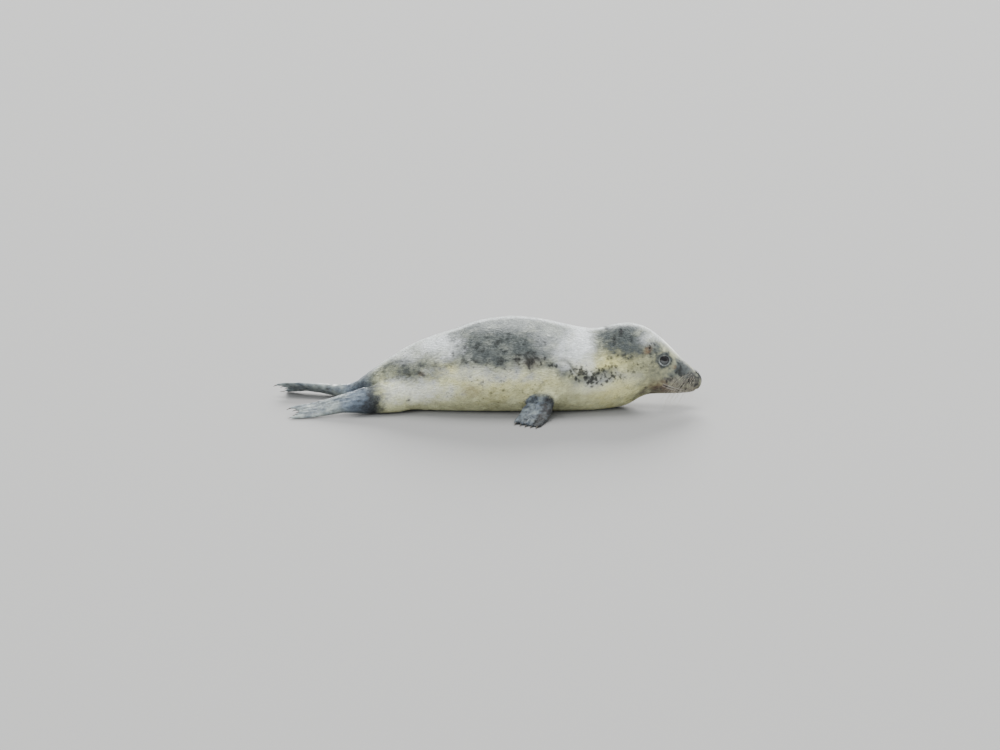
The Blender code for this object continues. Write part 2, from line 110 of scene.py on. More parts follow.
# A nostril's lower and upper ends: metres from the middle, then the share of the height.
NOSTRIL = ((0.0060, 0.315), (0.0150, 0.385))
NECK_FOLD = (
    (0.412, 0.598),
    (0.397, 0.604),
    (0.385, 0.598),
    (0.375, 0.572),
    (0.367, 0.530),
    (0.360, 0.485),
    (0.351, 0.450),
    (0.338, 0.425),
)
SHOULDER_CREASE = ((0.443, 0.395), (0.450, 0.345), (0.464, 0.285), (0.486, 0.210))
HIP_CREASE = ((0.905, 0.320), (0.850, 0.405), (0.788, 0.462))

# Marks on the coat in hundredths: share, height, half length, half height and strength.
# A last number keeps a mark to one side: -1 is the right and 1 the left.
MARKS = (
    # nape
    ("grey", 23.2, 82.5, 8, 19, 94),
    ("grey", 26.2, 80, 8, 17, 46),
    ("mottle", 24, 78, 9.2, 18, 50),
    ("dark", 22.8, 85.5, 0.55, 4, 80),
    ("dark", 24.6, 78, 0.5, 5.2, 85),
    ("dark", 19.9, 79, 0.42, 3.6, 62),
    ("dark", 26.8, 87.5, 0.6, 2, 50),
    ("grey", 18.5, 66, 5, 15, 36),
    # collar and neck
    ("pale", 43, 84, 4, 16, 26),
    ("pale", 34, 80, 3.6, 24, 100),
    ("pale", 37.4, 70, 4, 15, 72),
    ("pale", 31.8, 56, 1.6, 10, 60),
    ("warm", 24, 57.5, 7, 16, 100),
    ("grey", 17.6, 52, 4, 12, 34),
    ("speck", 21.4, 54.5, 5.6, 14, 70),
    ("speck", 27.2, 48, 4, 8, 64),
    ("dark", 24, 62.2, 0.5, 2.2, 50),
    ("dark", 21.9, 63.6, 0.54, 2, 56),
    ("dark", 19.7, 62.6, 0.5, 2.2, 54),
    ("dark", 25.6, 55.3, 0.62, 1.6, 50),
    ("dark", 13.7, 45.7, 0.56, 1.8, 36),
    ("dark", 21.1, 27.3, 0.52, 1.6, 36),
    ("dark", 22.9, 15, 1, 3, 34),
    ("speck", 30.2, 41.5, 7.2, 9.5, 100),
    ("mottle", 29.8, 41.5, 6.6, 7.8, 84),
    ("speck", 27, 37.5, 5.8, 8.2, 96),
    ("mottle", 27.4, 37.5, 4.6, 6.2, 84),
    ("grey", 30, 40.5, 7.4, 7.5, 56),
    ("speck", 34.3, 48, 3.4, 9, 100),
    ("grey", 38.3, 51.5, 2.6, 8.5, 62),
    ("speck", 42.8, 56, 4.2, 5, 95),
    ("grey", 42.5, 56.5, 4.4, 4.6, 62),
    # throat
    ("warm", 22.5, 28, 10, 21, 62),
    ("pale", 30, 33, 6, 9, 34),
    ("pale", 21.5, 40, 4, 7, 22),
    ("mottle", 25, 14, 6, 8, 55),
    ("speck", 22.5, 20, 6, 14, 45),
    # mantle
    ("grey", 56, 74, 16.5, 24, 78),
    ("mottle", 57, 72, 13, 19, 60),
    ("grey", 48, 66, 5.6, 13, 80),
    ("mottle", 48.7, 62.2, 4.6, 10, 100),
    ("speck", 48.2, 61, 5.6, 10, 78),
    ("rust", 48.4, 58, 3.4, 6, 26),
    ("mottle", 47.4, 51, 4.4, 5.4, 36),
    ("mottle", 55.3, 61, 2.6, 4.6, 100),
    ("mottle", 63.4, 60, 2.2, 4.4, 100),
    ("mottle", 61.6, 73.5, 3, 4.6, 100),
    ("grey", 56, 78.5, 5, 6, 90),
    ("mottle", 56, 78.5, 3.6, 4.4, 100),
    ("mottle", 59.8, 83, 1.8, 3.4, 88),
    ("mottle", 53.7, 85, 2.6, 3.4, 84),
    ("mottle", 54.1, 70.5, 3, 5, 90),
    ("mottle", 50.4, 77.5, 1.6, 3.4, 88),
    ("mottle", 46, 77.5, 3, 6, 80),
    ("mottle", 67.8, 72.5, 2.4, 4.6, 98),
    ("mottle", 66.8, 60, 1.8, 4, 96),
    ("mottle", 69.3, 81, 2.4, 3.4, 84),
    ("speck", 56, 56, 14, 7, 68),
    ("mottle", 44.5, 80, 4, 10, 40),
    # rump
    ("grey", 82.5, 47.5, 11, 13, 60),
    ("mottle", 83.5, 48, 11, 13, 76),
    ("mottle", 78.6, 43.8, 1.8, 5, 100),
    ("rust", 78.6, 43.8, 1, 3, 40),
    ("mottle", 81.6, 44.3, 2, 4.4, 100),
    ("mottle", 86.1, 40.5, 2.4, 4.4, 100),
    ("mottle", 74.2, 56, 5, 9, 70),
    ("dark", 69.9, 65.5, 0.36, 2.8, 75, -1),
    ("pale", 70.8, 66, 0.6, 4, 80, -1),
    ("grey", 78, 64, 8, 12, 16),
    ("mottle", 79, 64, 7, 11, 48),
    ("pale", 74.2, 74, 6, 12, 86),
    ("pale", 86, 62, 7, 8, 66),
    ("pale", 80, 27, 10, 12, 56),
    # belly
    ("pale", 60, 45.5, 14, 8, 42),
    ("mottle", 56, 31, 18, 20, 62),
    ("speck", 56, 31, 20, 20, 56),
    ("grey", 56, 20, 20, 14, 18),
    ("warm", 60, 32, 19, 20, 55),
    ("rust", 64.8, 29, 2.2, 6, 42, -1),
    ("rust", 70, 40, 1.4, 4, 30, 1),
    ("dark", 66.9, 39.4, 0.3, 2, 50, -1),
    ("warm", 71.3, 50, 3.6, 8, 85),
    ("warm", 54.9, 24, 2.5, 5, 85),
    ("warm", 50, 47, 6, 5, 50),
    ("dark", 82.2, 16, 0.35, 1.4, 85, -1),
    # ankles and tail
    ("grey", 95, 12, 5, 20, 100),
    ("dark", 92.6, 12.5, 3.4, 15, 86),
    ("dark", 96.2, 6, 2.6, 9, 45),
    ("dark", 92.5, 33, 2, 5, 35),
    # head
    ("grey", 9.5, 43, 9, 33, 44),
    ("warm", 13, 42, 7, 25, 55),
    ("warm", 6, 33, 7, 20, 35),
    ("mottle", 14, 56, 5, 16, 54),
    ("speck", 14, 58, 5, 18, 62),
    ("grey", 13.1, 70, 2.6, 9, 70),
    ("speck", 13.1, 69, 2, 7, 85),
    ("rust", 15.3, 67, 1.1, 4, 75),
    ("mottle", 10.8, 40, 3.4, 9, 60),
    ("pale", 11.2, 80, 5, 6, 70),
    ("rust", 11.8, 24, 3.6, 8, 66),
    ("grey", 8.5, 18.5, 9, 8.5, 70),
    ("rust", 8, 18, 7.6, 6.5, 62),
    ("speck", 7.5, 19, 7, 7, 82),
    ("mottle", 9, 19, 6, 6, 66),
    ("dark", 15.85, 26.2, 0.5, 1.4, 65, -1),
    ("rust", 7.9, 47.1, 0.7, 2.4, 75, -1),
    ("grey", 4.6, 38, 5.6, 19, 96),
    ("grey", 5, 29, 6, 11, 74),
    ("rust", 6, 28, 5, 8, 34),
    ("mottle", 5, 28, 5, 9, 70),
    ("mottle", 5.2, 39, 4.4, 15, 84),
    ("speck", 4.5, 36, 5.4, 17, 84),
    ("mottle", 2.2, 33, 2.8, 15, 80),
    ("grey", 2.6, 42, 3.6, 9, 90),
    ("dark", 5.8, 43, 2.2, 6, 40),
    ("dark", 3.6, 31, 2.6, 6, 34),
)
CHANNELS = ("cool", "pale", "warm", "grey", "mottle", "speck", "rust", "blue", "dark", "wet", "bare")


def along(share):
    """The place on X of a share of the length from the nose."""
    return NOSE - share * LENGTH


def rise(low, high, values):
    """0 at low and before, 1 at high and past it, an S-curve between."""
    t = np.clip((values - low) / (high - low), 0.0, 1.0)
    return t * t * (3 - 2 * t)


def bell(distance, width):
    """1 at no distance, fading smoothly to 0 within about two widths."""
    return np.exp(-((distance / width) ** 2))


def unit(vectors):
    """The vectors at length 1."""
    return vectors / np.maximum(np.linalg.norm(vectors, axis=-1, keepdims=True), 1e-9)


def wander(points, scale, seed):
    """Slow noise from about -1 to 1 at each point."""
    shift = Vector((seed * 7.3, seed * 3.1, seed * 5.7))
    return np.array([noise.noise(Vector(p) * scale + shift) for p in points])


def mouth_line():
    """Places along the closed lips from the corner to the front."""
    places = []
    for step in range(9):
        t = step / 8
        share, height = (a + (b - a) * t for a, b in zip(MOUTH_CORNER, MOUTH_FRONT))
        places.append((share, height - MOUTH_SAG * 4 * t * (1 - t)))
    return places


def off_line(co, places):
    """Distance, seen from the side, to a line on the body map, and how far along it from 0 to 1."""
    best, share = np.full(len(co), FAR), np.zeros(len(co))
    spots = [np.array((along(s), h * HEIGHT)) for s, h in places]
    seen = co[:, [0, 2]]
    for index, (start, end) in enumerate(zip(spots, spots[1:])):
        run = end - start
        t = np.clip((seen - start) @ run / (run @ run), 0, 1)
        distance = np.linalg.norm(seen - start - t[:, None] * run, axis=1)
        share = np.where(distance < best, (index + t) / (len(spots) - 1), share)
        best = np.minimum(best, distance)
    return best, share


# ---------------------------------------------------------------- meshes


def mesh_of(name, bm):
    """The mesh of an edit mesh, which is then freed."""
    mesh = bpy.data.meshes.new(name)
    bm.to_mesh(mesh)
    bm.free()
    return mesh


def smooth(mesh):
    """Shades every face smoothly."""
    mesh.polygons.foreach_set("use_smooth", np.ones(len(mesh.polygons), bool))


def dress(name, mesh, *finishes):
    """A smooth-shaded object that rides on the seal's body."""
    piece = bpy.data.objects.new(name, mesh)
    bpy.context.scene.collection.objects.link(piece)
    smooth(mesh)
    for finish in finishes:
        mesh.materials.append(finish)
    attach(piece, "root")
    return piece


def apply_modifiers(piece):
    """Gives the piece the mesh that its modifiers make."""
    depsgraph = bpy.context.evaluated_depsgraph_get()
    mesh = bpy.data.meshes.new_from_object(piece.evaluated_get(depsgraph), depsgraph=depsgraph)
    old = piece.data
    piece.modifiers.clear()
    piece.data = mesh
    bpy.data.meshes.remove(old)


def read(items, name, width=1, kind=np.float32):
    """One property of every item as an array, with a row for each item if it has a width."""
    found = np.empty(len(items) * width, kind)
    items.foreach_get(name, found)
    return found.reshape(-1, width) if width > 1 else found


def points_of(mesh, normals=False):
    """Each vertex's place, or its normal."""
    found = read(mesh.vertex_normals, "vector", 3) if normals else read(mesh.vertices, "co", 3)
    return found.astype(float)


def set_points(mesh, co):
    """Moves the vertices to these places."""
    mesh.vertices.foreach_set("co", co.astype(np.float32).ravel())
    mesh.update()


def keep(mesh, name, values):
    """Stores one number or vector for each vertex."""
    vector = values.ndim == 2
    layer = mesh.attributes.new(name, "FLOAT_VECTOR" if vector else "FLOAT", "POINT")
    layer.data.foreach_set("vector" if vector else "value", values.astype(np.float32).ravel())


def kept(mesh, name, vector=False):
    """The numbers or vectors that keep() stored."""
    data = mesh.attributes[name].data
    return (read(data, "vector", 3) if vector else read(data, "value")).astype(float)


def edges_of(mesh):
    """The two vertices of each edge."""
    return read(mesh.edges, "vertices", 2, np.int32)


def relaxed(values, edges, weight, rounds, push=0.0):
    """Moves each vertex's values towards its neighbours'; push moves them out again to keep thin parts."""
    first, second = edges.T
    count = np.bincount(edges.ravel(), minlength=len(values)).clip(1)[:, None]

    def total(column):
        """The sum of a column over each vertex's neighbours."""
        ahead = np.bincount(first, column[second], len(column))
        return ahead + np.bincount(second, column[first], len(column))

    for _ in range(rounds):
        for factor in (0.5, -push) if push else (0.5,):
            sums = np.stack([total(column) for column in values.T], 1)
            values = values + (sums / count - values) * weight[:, None] * factor
    return values


def flesh_tree():
    """A search tree over the flesh nodes, and the name of the node that each of its faces is from."""
    points, faces, owners = [], [], []
    for name in FLESH:
        mesh = NODES[name].data
        start = len(points)
        points += [v.co.copy() for v in mesh.vertices]
        faces += [[start + i for i in p.vertices] for p in mesh.polygons]
        owners += [name] * len(mesh.polygons)
    return BVHTree.FromPolygons(points, faces), owners


def eye_frames():
    """Per side: the eyeball's centre and radius, with directions out of the head, forward and up."""
    found = {}
    for side, sign in SIDES.items():
        low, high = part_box(f"eye_{side}")
        out = Vector((0.34, 0.90 * sign, 0.26)).normalized()
        forward = (Vector((1, 0, 0)) - out * out.x).normalized()
        upward = forward.cross(out) * sign
        found[side] = (low + high) / 2, (high.x - low.x) / 2, out, forward, upward
    return found


def limb_frames():
    """Per limb: wrist, forward, digits as (base, tip) and the flipper's reach."""
    found = {}
    for kind, upper in LIMBS.items():
        for side in SIDES:
            tips = [np.array(middle(f"{kind}_claw_{side}_{toe}")) for toe in TOES]
            root = np.array(middle(f"{upper}_{side}"))
            co = points_of(NODES[f"{kind}_flipper_{side}"].data)
            order = np.argsort(np.linalg.norm(co - root, axis=1))
            wrist = co[order[: len(co) // 14]].mean(0)
            centre = np.mean(tips, axis=0)
            forward = unit(centre - wrist)
            across = unit((tips[0] - tips[4]) - forward * ((tips[0] - tips[4]) @ forward))
            spread = 0.030 if kind == "fore" else 0.021
            digits = [(wrist + across * spread * (1 - i / 2), tip) for i, tip in enumerate(tips)]
            found[kind, side] = wrist, forward, digits, np.linalg.norm(centre - wrist)
    return found


# ------------------------------------------------------------- materials


class Value:
    """A socket that takes part in sums: each operator adds its Math node."""

    def __init__(self, finish, socket):
        self.finish, self.socket = finish, socket

    def math(self, operation, first, second, clamp=False):
        """The result of a Math node."""
        return self.finish.node("Math", {"operation": operation, "use_clamp": clamp}, {0: first, 1: second})

    def __add__(self, other):
        return self.math("ADD", self, other)

    def __sub__(self, other):
        return self.math("SUBTRACT", self, other)

    def __rsub__(self, other):
        return self.math("SUBTRACT", other, self)

    def __mul__(self, other):
        return self.math("MULTIPLY", self, other)

    def __truediv__(self, other):
        return self.math("DIVIDE", self, other)

    def __pow__(self, other):
        return self.math("POWER", self, other)

    __radd__, __rmul__ = __add__, __mul__

    def clamped(self):
        """The value kept between 0 and 1."""
        return self.math("ADD", self, 0.0, clamp=True)


class Finish:
    """A material in the making."""

    def __init__(self, name):
        self.material = bpy.data.materials.new(name)
        self.material.use_nodes = True
        self.tree = self.material.node_tree
        self.tree.nodes.clear()

    def node(self, kind, settings=None, sockets=None, out=0):
        """Adds a node of any type, with its settings, values and links, and gives one of its outputs."""
        made = self.tree.nodes.new("ShaderNode" + kind)
        for name, value in (settings or {}).items():
            setattr(made, name, value)
        for name, value in (sockets or {}).items():
            if isinstance(value, Value):
                self.tree.links.new(value.socket, made.inputs[name])
            else:
                made.inputs[name].default_value = value
        return Value(self, made.outputs[out]) if made.outputs else None

    def attribute(self, name):
        """A number that the mesh stores for each vertex."""
        return self.node("Attribute", {"attribute_name": name}, out=2)

    def place(self, stretch=(1, 1, 1)):
        """Object coordinates, scaled along each axis."""
        spot = self.node("TexCoord", out=3)
        return self.node("Mapping", sockets={"Vector": spot, "Scale": stretch})

    def noise(self, spot, scale, detail=3.0, roughness=0.55, distortion=0.0):
        """Noise from about -1 to 1."""
        sockets = {"Vector": spot, "Scale": scale, "Detail": detail, "Roughness": roughness}
        sockets["Distortion"] = distortion
        return (self.node("TexNoise", sockets=sockets) - 0.5) * 3.2

    def mix(self, factor, first, second, blend="MIX"):
        """The first colour with the second laid over it by the factor."""
        settings = {"data_type": "RGBA", "blend_type": blend, "clamp_factor": True}
        return self.node("Mix", settings, {0: factor, 6: colour(first), 7: colour(second)}, out=2)

    def lit(self, base, light):
        """A colour times a number."""
        grey = self.node("CombineColor", sockets={0: light, 1: light, 2: light})
        return self.mix(1.0, base, grey, "MULTIPLY")

    def surface(self, **sockets):
        """Ends the material in a principled surface; underscores stand for spaces."""
        named = {name.replace("_", " "): colour(value) for name, value in sockets.items()}
        shader = self.node("BsdfPrincipled", sockets=named)
        self.node("OutputMaterial", sockets={"Surface": shader})
        return self.material


def colour(value):
    """A colour of three numbers with its alpha; anything else as it is."""
    if isinstance(value, (Value, int, float)):
        return value
    return (*value, 1.0) if len(value) == 3 else value


def deep(amount):
    """An amount of a dark tone, raised so that half of it looks half as dark."""
    rest = 1.0 - amount.clamped()
    return 1.0 - rest * rest


def pelt_colour(finish, tones):
    """The coat's markings as one colour, the same on skin and tufts, with the soft noise that they use."""
    spot = finish.place((0.8, 1, 1))
    broad = finish.noise(spot, 22, 2, 0.5)
    patchy = finish.noise(spot, 56, 2.5, 0.5)
    small = finish.noise(spot, 125, 2, 0.5)
    specks = finish.noise(spot, 330, 2, 0.6)
    bend = finish.node("TexNoise", sockets={"Vector": spot, "Scale": 130, "Detail": 2.0}, out=1)
    bent = finish.node("VectorMath", {"operation": "SCALE"}, {0: bend, "Scale": 0.013})
    cells = finish.node("VectorMath", {"operation": "ADD"}, {0: finish.place((1, 1, 0.85)), 1: bent})
    spots = 1.0 - finish.node("TexVoronoi", sockets={"Vector": cells, "Scale": 80, "Randomness": 1.0}) * 2.0
    grain = finish.noise(finish.place((0.25, 1, 1)), 620, 2, 0.5)
    cool, pale, warm, grey, mottle, speck, rust, blue, dark = (finish.attribute(n) for n in CHANNELS[:9])
    ground = (broad * 0.50 + patchy * 0.42 + small * 0.26 + 0.34).clamped()
    coat = finish.mix(ground, tones.cream, tones.shade)
    coat = finish.mix(cool * (0.9 + broad * 0.2), coat, tones.silver)
    coat = finish.mix(warm * (0.90 + broad * 0.30 + patchy * 0.30), coat, tones.yellow)
    coat = finish.mix(deep(grey * (1.0 + broad * 0.30 + patchy * 0.34 + small * 0.20)), coat, tones.grey)
    coat = finish.mix(pale * (0.95 + patchy * 0.30 + small * 0.20), coat, tones.white)
    coat = finish.mix(rust * (0.8 + patchy * 0.5), coat, tones.rust)
    worn = (patchy * 0.6 + small * 0.4 + specks * 0.3 + 0.4).clamped()
    leather = finish.mix(worn, tones.blue, tones.slate)
    coat = finish.mix(blue * (0.95 + patchy * 0.2), coat, leather)
    cloud = patchy * 0.75 + small * 0.45 + specks * 0.15 + broad * 0.2
    blot = deep((cloud + mottle * 1.30 - 1.05) * 1.1)
    coat = finish.mix(blot * (0.30 + mottle * 0.45), coat, tones.dark)
    dots = spots * 0.80 + small * 0.30 + patchy * 0.30
    blot = deep((dots + speck * 1.10 - 1.00) * 1.6)
    coat = finish.mix(blot * (0.22 + speck * 0.68), coat, tones.dark)
    coat = finish.mix((dark * (1.0 + patchy * 0.3 + small * 0.2)).clamped(), coat, tones.black)
    return finish.lit(coat, 1.0 + grain * 0.10 + specks * 0.05), patchy, specks


def pelt_finish(name, tones, tufted):
    """The seal's hide, or with tufted the hairs over it, whose tips are paler than their roots."""
    finish = Finish(name)
    base, patchy, specks = pelt_colour(finish, tones)
    wet, bare = finish.attribute("wet"), finish.attribute("bare")
    if tufted:
        tip, shade = finish.attribute("tip"), finish.attribute("shade")
        return finish.surface(
            Base_Color=finish.lit(base, 0.82 + tip * 0.30 + shade * 0.20),
            Roughness=0.62 - wet * 0.30,
            Specular_IOR_Level=0.22,
            Sheen_Weight=0.12,
            Sheen_Roughness=0.35,
        )
    strands = finish.noise(finish.place((0.09, 1, 1)), 800, 3, 0.6)
    creases = finish.noise(finish.place((1, 1, 1)), 420, 4, 0.65)
    relief = strands * (1 - bare) * 0.55 + creases * (0.15 + bare * 0.55) + patchy * 0.35
    bump = finish.node("Bump", sockets={"Strength": 0.55, "Distance": 0.0011, "Height": relief})
    return finish.surface(
        Base_Color=base,
        Roughness=(0.66 - wet * 0.34 - bare * 0.12 + specks * 0.03).clamped(),
        Coat_Weight=(wet * 0.45).clamped(),
        Coat_Roughness=0.14,
        Specular_IOR_Level=0.28,
        Sheen_Weight=0.05,
        Sheen_Roughness=0.5,
        Normal=bump,
    )


# ------------------------------------------------------------ properties


def length_prop(name, description, default):
    """A length in metres."""
    return bpy.props.FloatProperty(
        name=name, description=description, default=default, min=0.0, unit="LENGTH", subtype="DISTANCE"
    )


def colour_prop(name, description, default):
    """A colour of three numbers."""
    return bpy.props.FloatVectorProperty(
        name=name, description=description, default=default, min=0.0, max=1.0, size=3, subtype="COLOR"
    )


class SealPelt(bpy.types.PropertyGroup):
    cell: length_prop("Skin cell", "Size of the skin's cells before its fine places are split", 0.0052)
    trunk_depth: length_prop("Trunk coat depth", "How far the skin lies inside the trunk", 0.0028)
    face_depth: length_prop("Face coat depth", "The same for the muzzle and flippers", 0.0008)
    fold: length_prop("Fold depth", "Depth of the folds at the neck, shoulder and hip", 0.0038)
    cream: colour_prop("Cream", "Ground colour of the coat", (0.76, 0.76, 0.48))
    shade: colour_prop("Cream shade", "Second tone of the ground colour", (0.43, 0.41, 0.23))
    silver: colour_prop("Silver", "Ground colour of the flank and back", (0.60, 0.63, 0.60))
    white: colour_prop("White", "Collar, brow and back", (0.94, 0.96, 0.96))
    yellow: colour_prop("Yellow", "Stained patch on the neck", (0.88, 0.82, 0.37))
    grey: colour_prop("Grey", "Saddle and flank", (0.108, 0.122, 0.118))
    dark: colour_prop("Dark", "Blotches", (0.030, 0.030, 0.026))
    rust: colour_prop("Rust", "Stains on the jaw and by the ear", (0.17, 0.095, 0.050))
    blue: colour_prop("Blue-grey", "Light tone of the flippers", (0.17, 0.225, 0.30))
    slate: colour_prop("Slate", "Dark tone of the flippers", (0.060, 0.072, 0.090))
    # Black is also the painted shade in the folds, lip seam, nostrils and ear hole.
    black: colour_prop("Black", "Nose, creases and lips", (0.016, 0.016, 0.017))


class SealCoat(bpy.types.PropertyGroup):
    trunk_length: length_prop("Trunk tufts", "Length of a tuft on the trunk", 0.0115)
    face_length: length_prop("Face tufts", "Length of a tuft on the muzzle", 0.0036)
    trunk_width: length_prop("Trunk tuft width", "Width of a tuft on the trunk", 0.00132)
    face_width: length_prop("Face tuft width", "Width of a tuft on the muzzle", 0.00055)
    cover: bpy.props.FloatProperty(
        name="Cover", description="Tufts' area for each area of trunk", default=0.785, min=0.0, max=2.0
    )


class SealEyes(bpy.types.PropertyGroup):
    sunk: length_prop("Sunk", "How much deeper the eyeball sits than its solid", 0.0012)
    opening: length_prop("Opening", "Radius of the gap between the lids", 0.0134)
    lid: length_prop("Lid", "How far the lids stand over the eyeball", 0.0011)
    iris: colour_prop("Iris", "Dark middle of the eye", (0.005, 0.004, 0.004))
    brown: colour_prop("Brown", "Edge of the iris", (0.040, 0.034, 0.030))
    # The cloud is the painted reflection on the lower part of the eye.
    cloud: colour_prop("Cloud", "Grey lower part of the eye", (0.11, 0.115, 0.115))


class SealClaws(bpy.types.PropertyGroup):
    root: length_prop("Root", "How far a claw reaches into its toe", 0.0045)
    horn: colour_prop("Horn", "Colour of the claws", (0.060, 0.050, 0.042))
    tip: colour_prop("Tip", "Paler worn tips", (0.24, 0.21, 0.17))


class SealWhiskers(bpy.types.PropertyGroup):
    longest: length_prop("Longest", "Length of the longest whisker", 0.085)
    thick: length_prop("Thickness", "Radius of a whisker at its root", 0.00044)
    straw: colour_prop("Straw", "Colour of the whiskers", (0.42, 0.38, 0.29))


class SealStage(bpy.types.PropertyGroup):
    floor: colour_prop("Floor", "Colour of the floor", (0.235, 0.232, 0.226))
    elevation: bpy.props.FloatProperty(
        name="Elevation",
        description="Camera's angle above the horizon",
        default=math.radians(12),
        subtype="ANGLE",
    )
    distance: length_prop("Distance", "Camera's distance from its aim", 14.0)
    width: length_prop("Width", "Width of the view at the seal", 3.1746032)


# --------------------------------------------------------------- the skin


def fused_flesh(cell):
    """The flesh nodes, grown until they meet, and a ball at each eye, fused into one skin of even cells."""
    shells = bmesh.new()
    for name in FLESH:
        shell = bmesh.new()
        shell.from_mesh(NODES[name].data)
        bmesh.ops.remove_doubles(shell, verts=shell.verts, dist=1e-5)
        shell.normal_update()
        for vert in shell.verts:
            vert.co += vert.normal * CUT_WIDTH
        mesh = mesh_of("shell", shell)
        shells.from_mesh(mesh)
        bpy.data.meshes.remove(mesh)
    for centre, radius, out, *_ in eye_frames().values():
        place = Matrix.Translation(centre - out * 0.003)
        bmesh.ops.create_icosphere(shells, subdivisions=4, radius=radius + 0.001, matrix=place)
    skin = dress("skin", mesh_of("skin", shells))
    fuse = skin.modifiers.new("fuse", "REMESH")
    fuse.mode, fuse.voxel_size = "VOXEL", cell
    apply_modifiers(skin)
    return skin


def keep_largest(bm):
    """Deletes every part that isn't joined to the largest one."""
    seen, parts = set(), []
    for start in bm.verts:
        if start in seen:
            continue
        part = [start]
        seen.add(start)
        for vert in part:
            fresh = {edge.other_vert(vert) for edge in vert.link_edges} - seen
            seen |= fresh
            part += fresh
        parts.append(part)
    parts.sort(key=len)
    for part in parts[:-1]:
        bmesh.ops.delete(bm, geom=part, context="VERTS")


def split_region(bm, wanted):
    """Splits the edges whose two ends are in the wanted region."""
    bm.verts.index_update()
    edges = [e for e in bm.edges if wanted(e.verts[0]) and wanted(e.verts[1])]
    bmesh.ops.subdivide_edges(bm, edges=edges, cuts=1, use_grid_fill=True)


def refine(skin):
    """Finer cells on the head and flippers, finer still at the eyes, nose, mouth and folds."""
    bm = bmesh.new()
    bm.from_mesh(skin.data)
    keep_largest(bm)
    toes = bm.verts.layers.float.new("toes")
    tips = [Vector(tip) for _, _, digits, _ in limb_frames().values() for _, tip in digits]
    for vert in bm.verts:
        vert[toes] = any((vert.co - tip).length < 0.045 for tip in tips)
    eyes = [centre for centre, *_ in eye_frames().values()]

    def near(reach, *lines):
        """Which vertices lie within reach of the lines, seen from the side."""
        co = np.array([v.co for v in bm.verts])
        return np.any([off_line(co, line)[0] < reach for line in lines], 0)

    close = near(0.012, NECK_FOLD, SHOULDER_CREASE, HIP_CREASE)
    split_region(bm, lambda v: v.co.x > along(0.170) or v[toes] > 0.5 or close[v.index])
    close = near(0.007, mouth_line())
    split_region(
        bm,
        lambda v: v.co.x > along(0.046)
        or (close[v.index] and v.co.x > along(0.125))
        or any((v.co - eye).length < 0.029 for eye in eyes)
        or math.hypot(v.co.x - along(EAR[0]), v.co.z - EAR[1] * HEIGHT) < 0.010,
    )
    split_region(bm, lambda v: v.co.x > along(0.0140) and v.co.z > 0.27 * HEIGHT)
    bm.to_mesh(skin.data)
    bm.free()


def limb_survey(co, tree, owners):
    """How each vertex lies on the limbs, by name.

    flipper, limb: whether it is on a flipper, and on any part of a limb
    forward, toward: its limb's direction, and how far it is from the wrist to the toes
    ridge: 0 on a digit, 0.5 between two
    lead: 0 at the middle toe, 1 at the leading one
    """
    labels = [owners[tree.find_nearest(Vector(p))[2]] for p in co]
    flipper = np.array(["flipper" in name for name in labels], float)
    limb = np.array([name.startswith(("fore_", "hind_")) for name in labels], float)
    forward = np.zeros((len(co), 3))
    toward, ridge, lead = np.zeros((3, len(co)))
    for (kind, side), (wrist, ahead, digits, reach) in limb_frames().items():
        mine = np.array([name.startswith(kind) and name.endswith(side) for name in labels])
        spots = co[mine]
        forward[mine] = ahead
        toward[mine] = (spots - wrist) @ ahead / reach
        middle_tip = digits[2][1]
        leading_tip = max(digits[0][1], digits[4][1], key=lambda tip: tip[0])
        breadth = leading_tip - middle_tip
        breadth = breadth - ahead * (breadth @ ahead)
        lead[mine] = (spots - middle_tip) @ breadth / (breadth @ breadth)
        away = []
        for base, tip in digits:
            run = tip - base
            t = np.clip((spots - base) @ run / (run @ run), -0.3, 1.0)
            away.append(np.linalg.norm(spots - base - t[:, None] * run, axis=1))
        nearest, second, *_ = np.sort(np.array(away), axis=0)
        ridge[mine] = nearest / (nearest + second)
    names = ("flipper", "limb", "forward", "toward", "ridge", "lead")
    return dict(zip(names, (flipper, limb, forward, toward, ridge, lead)))


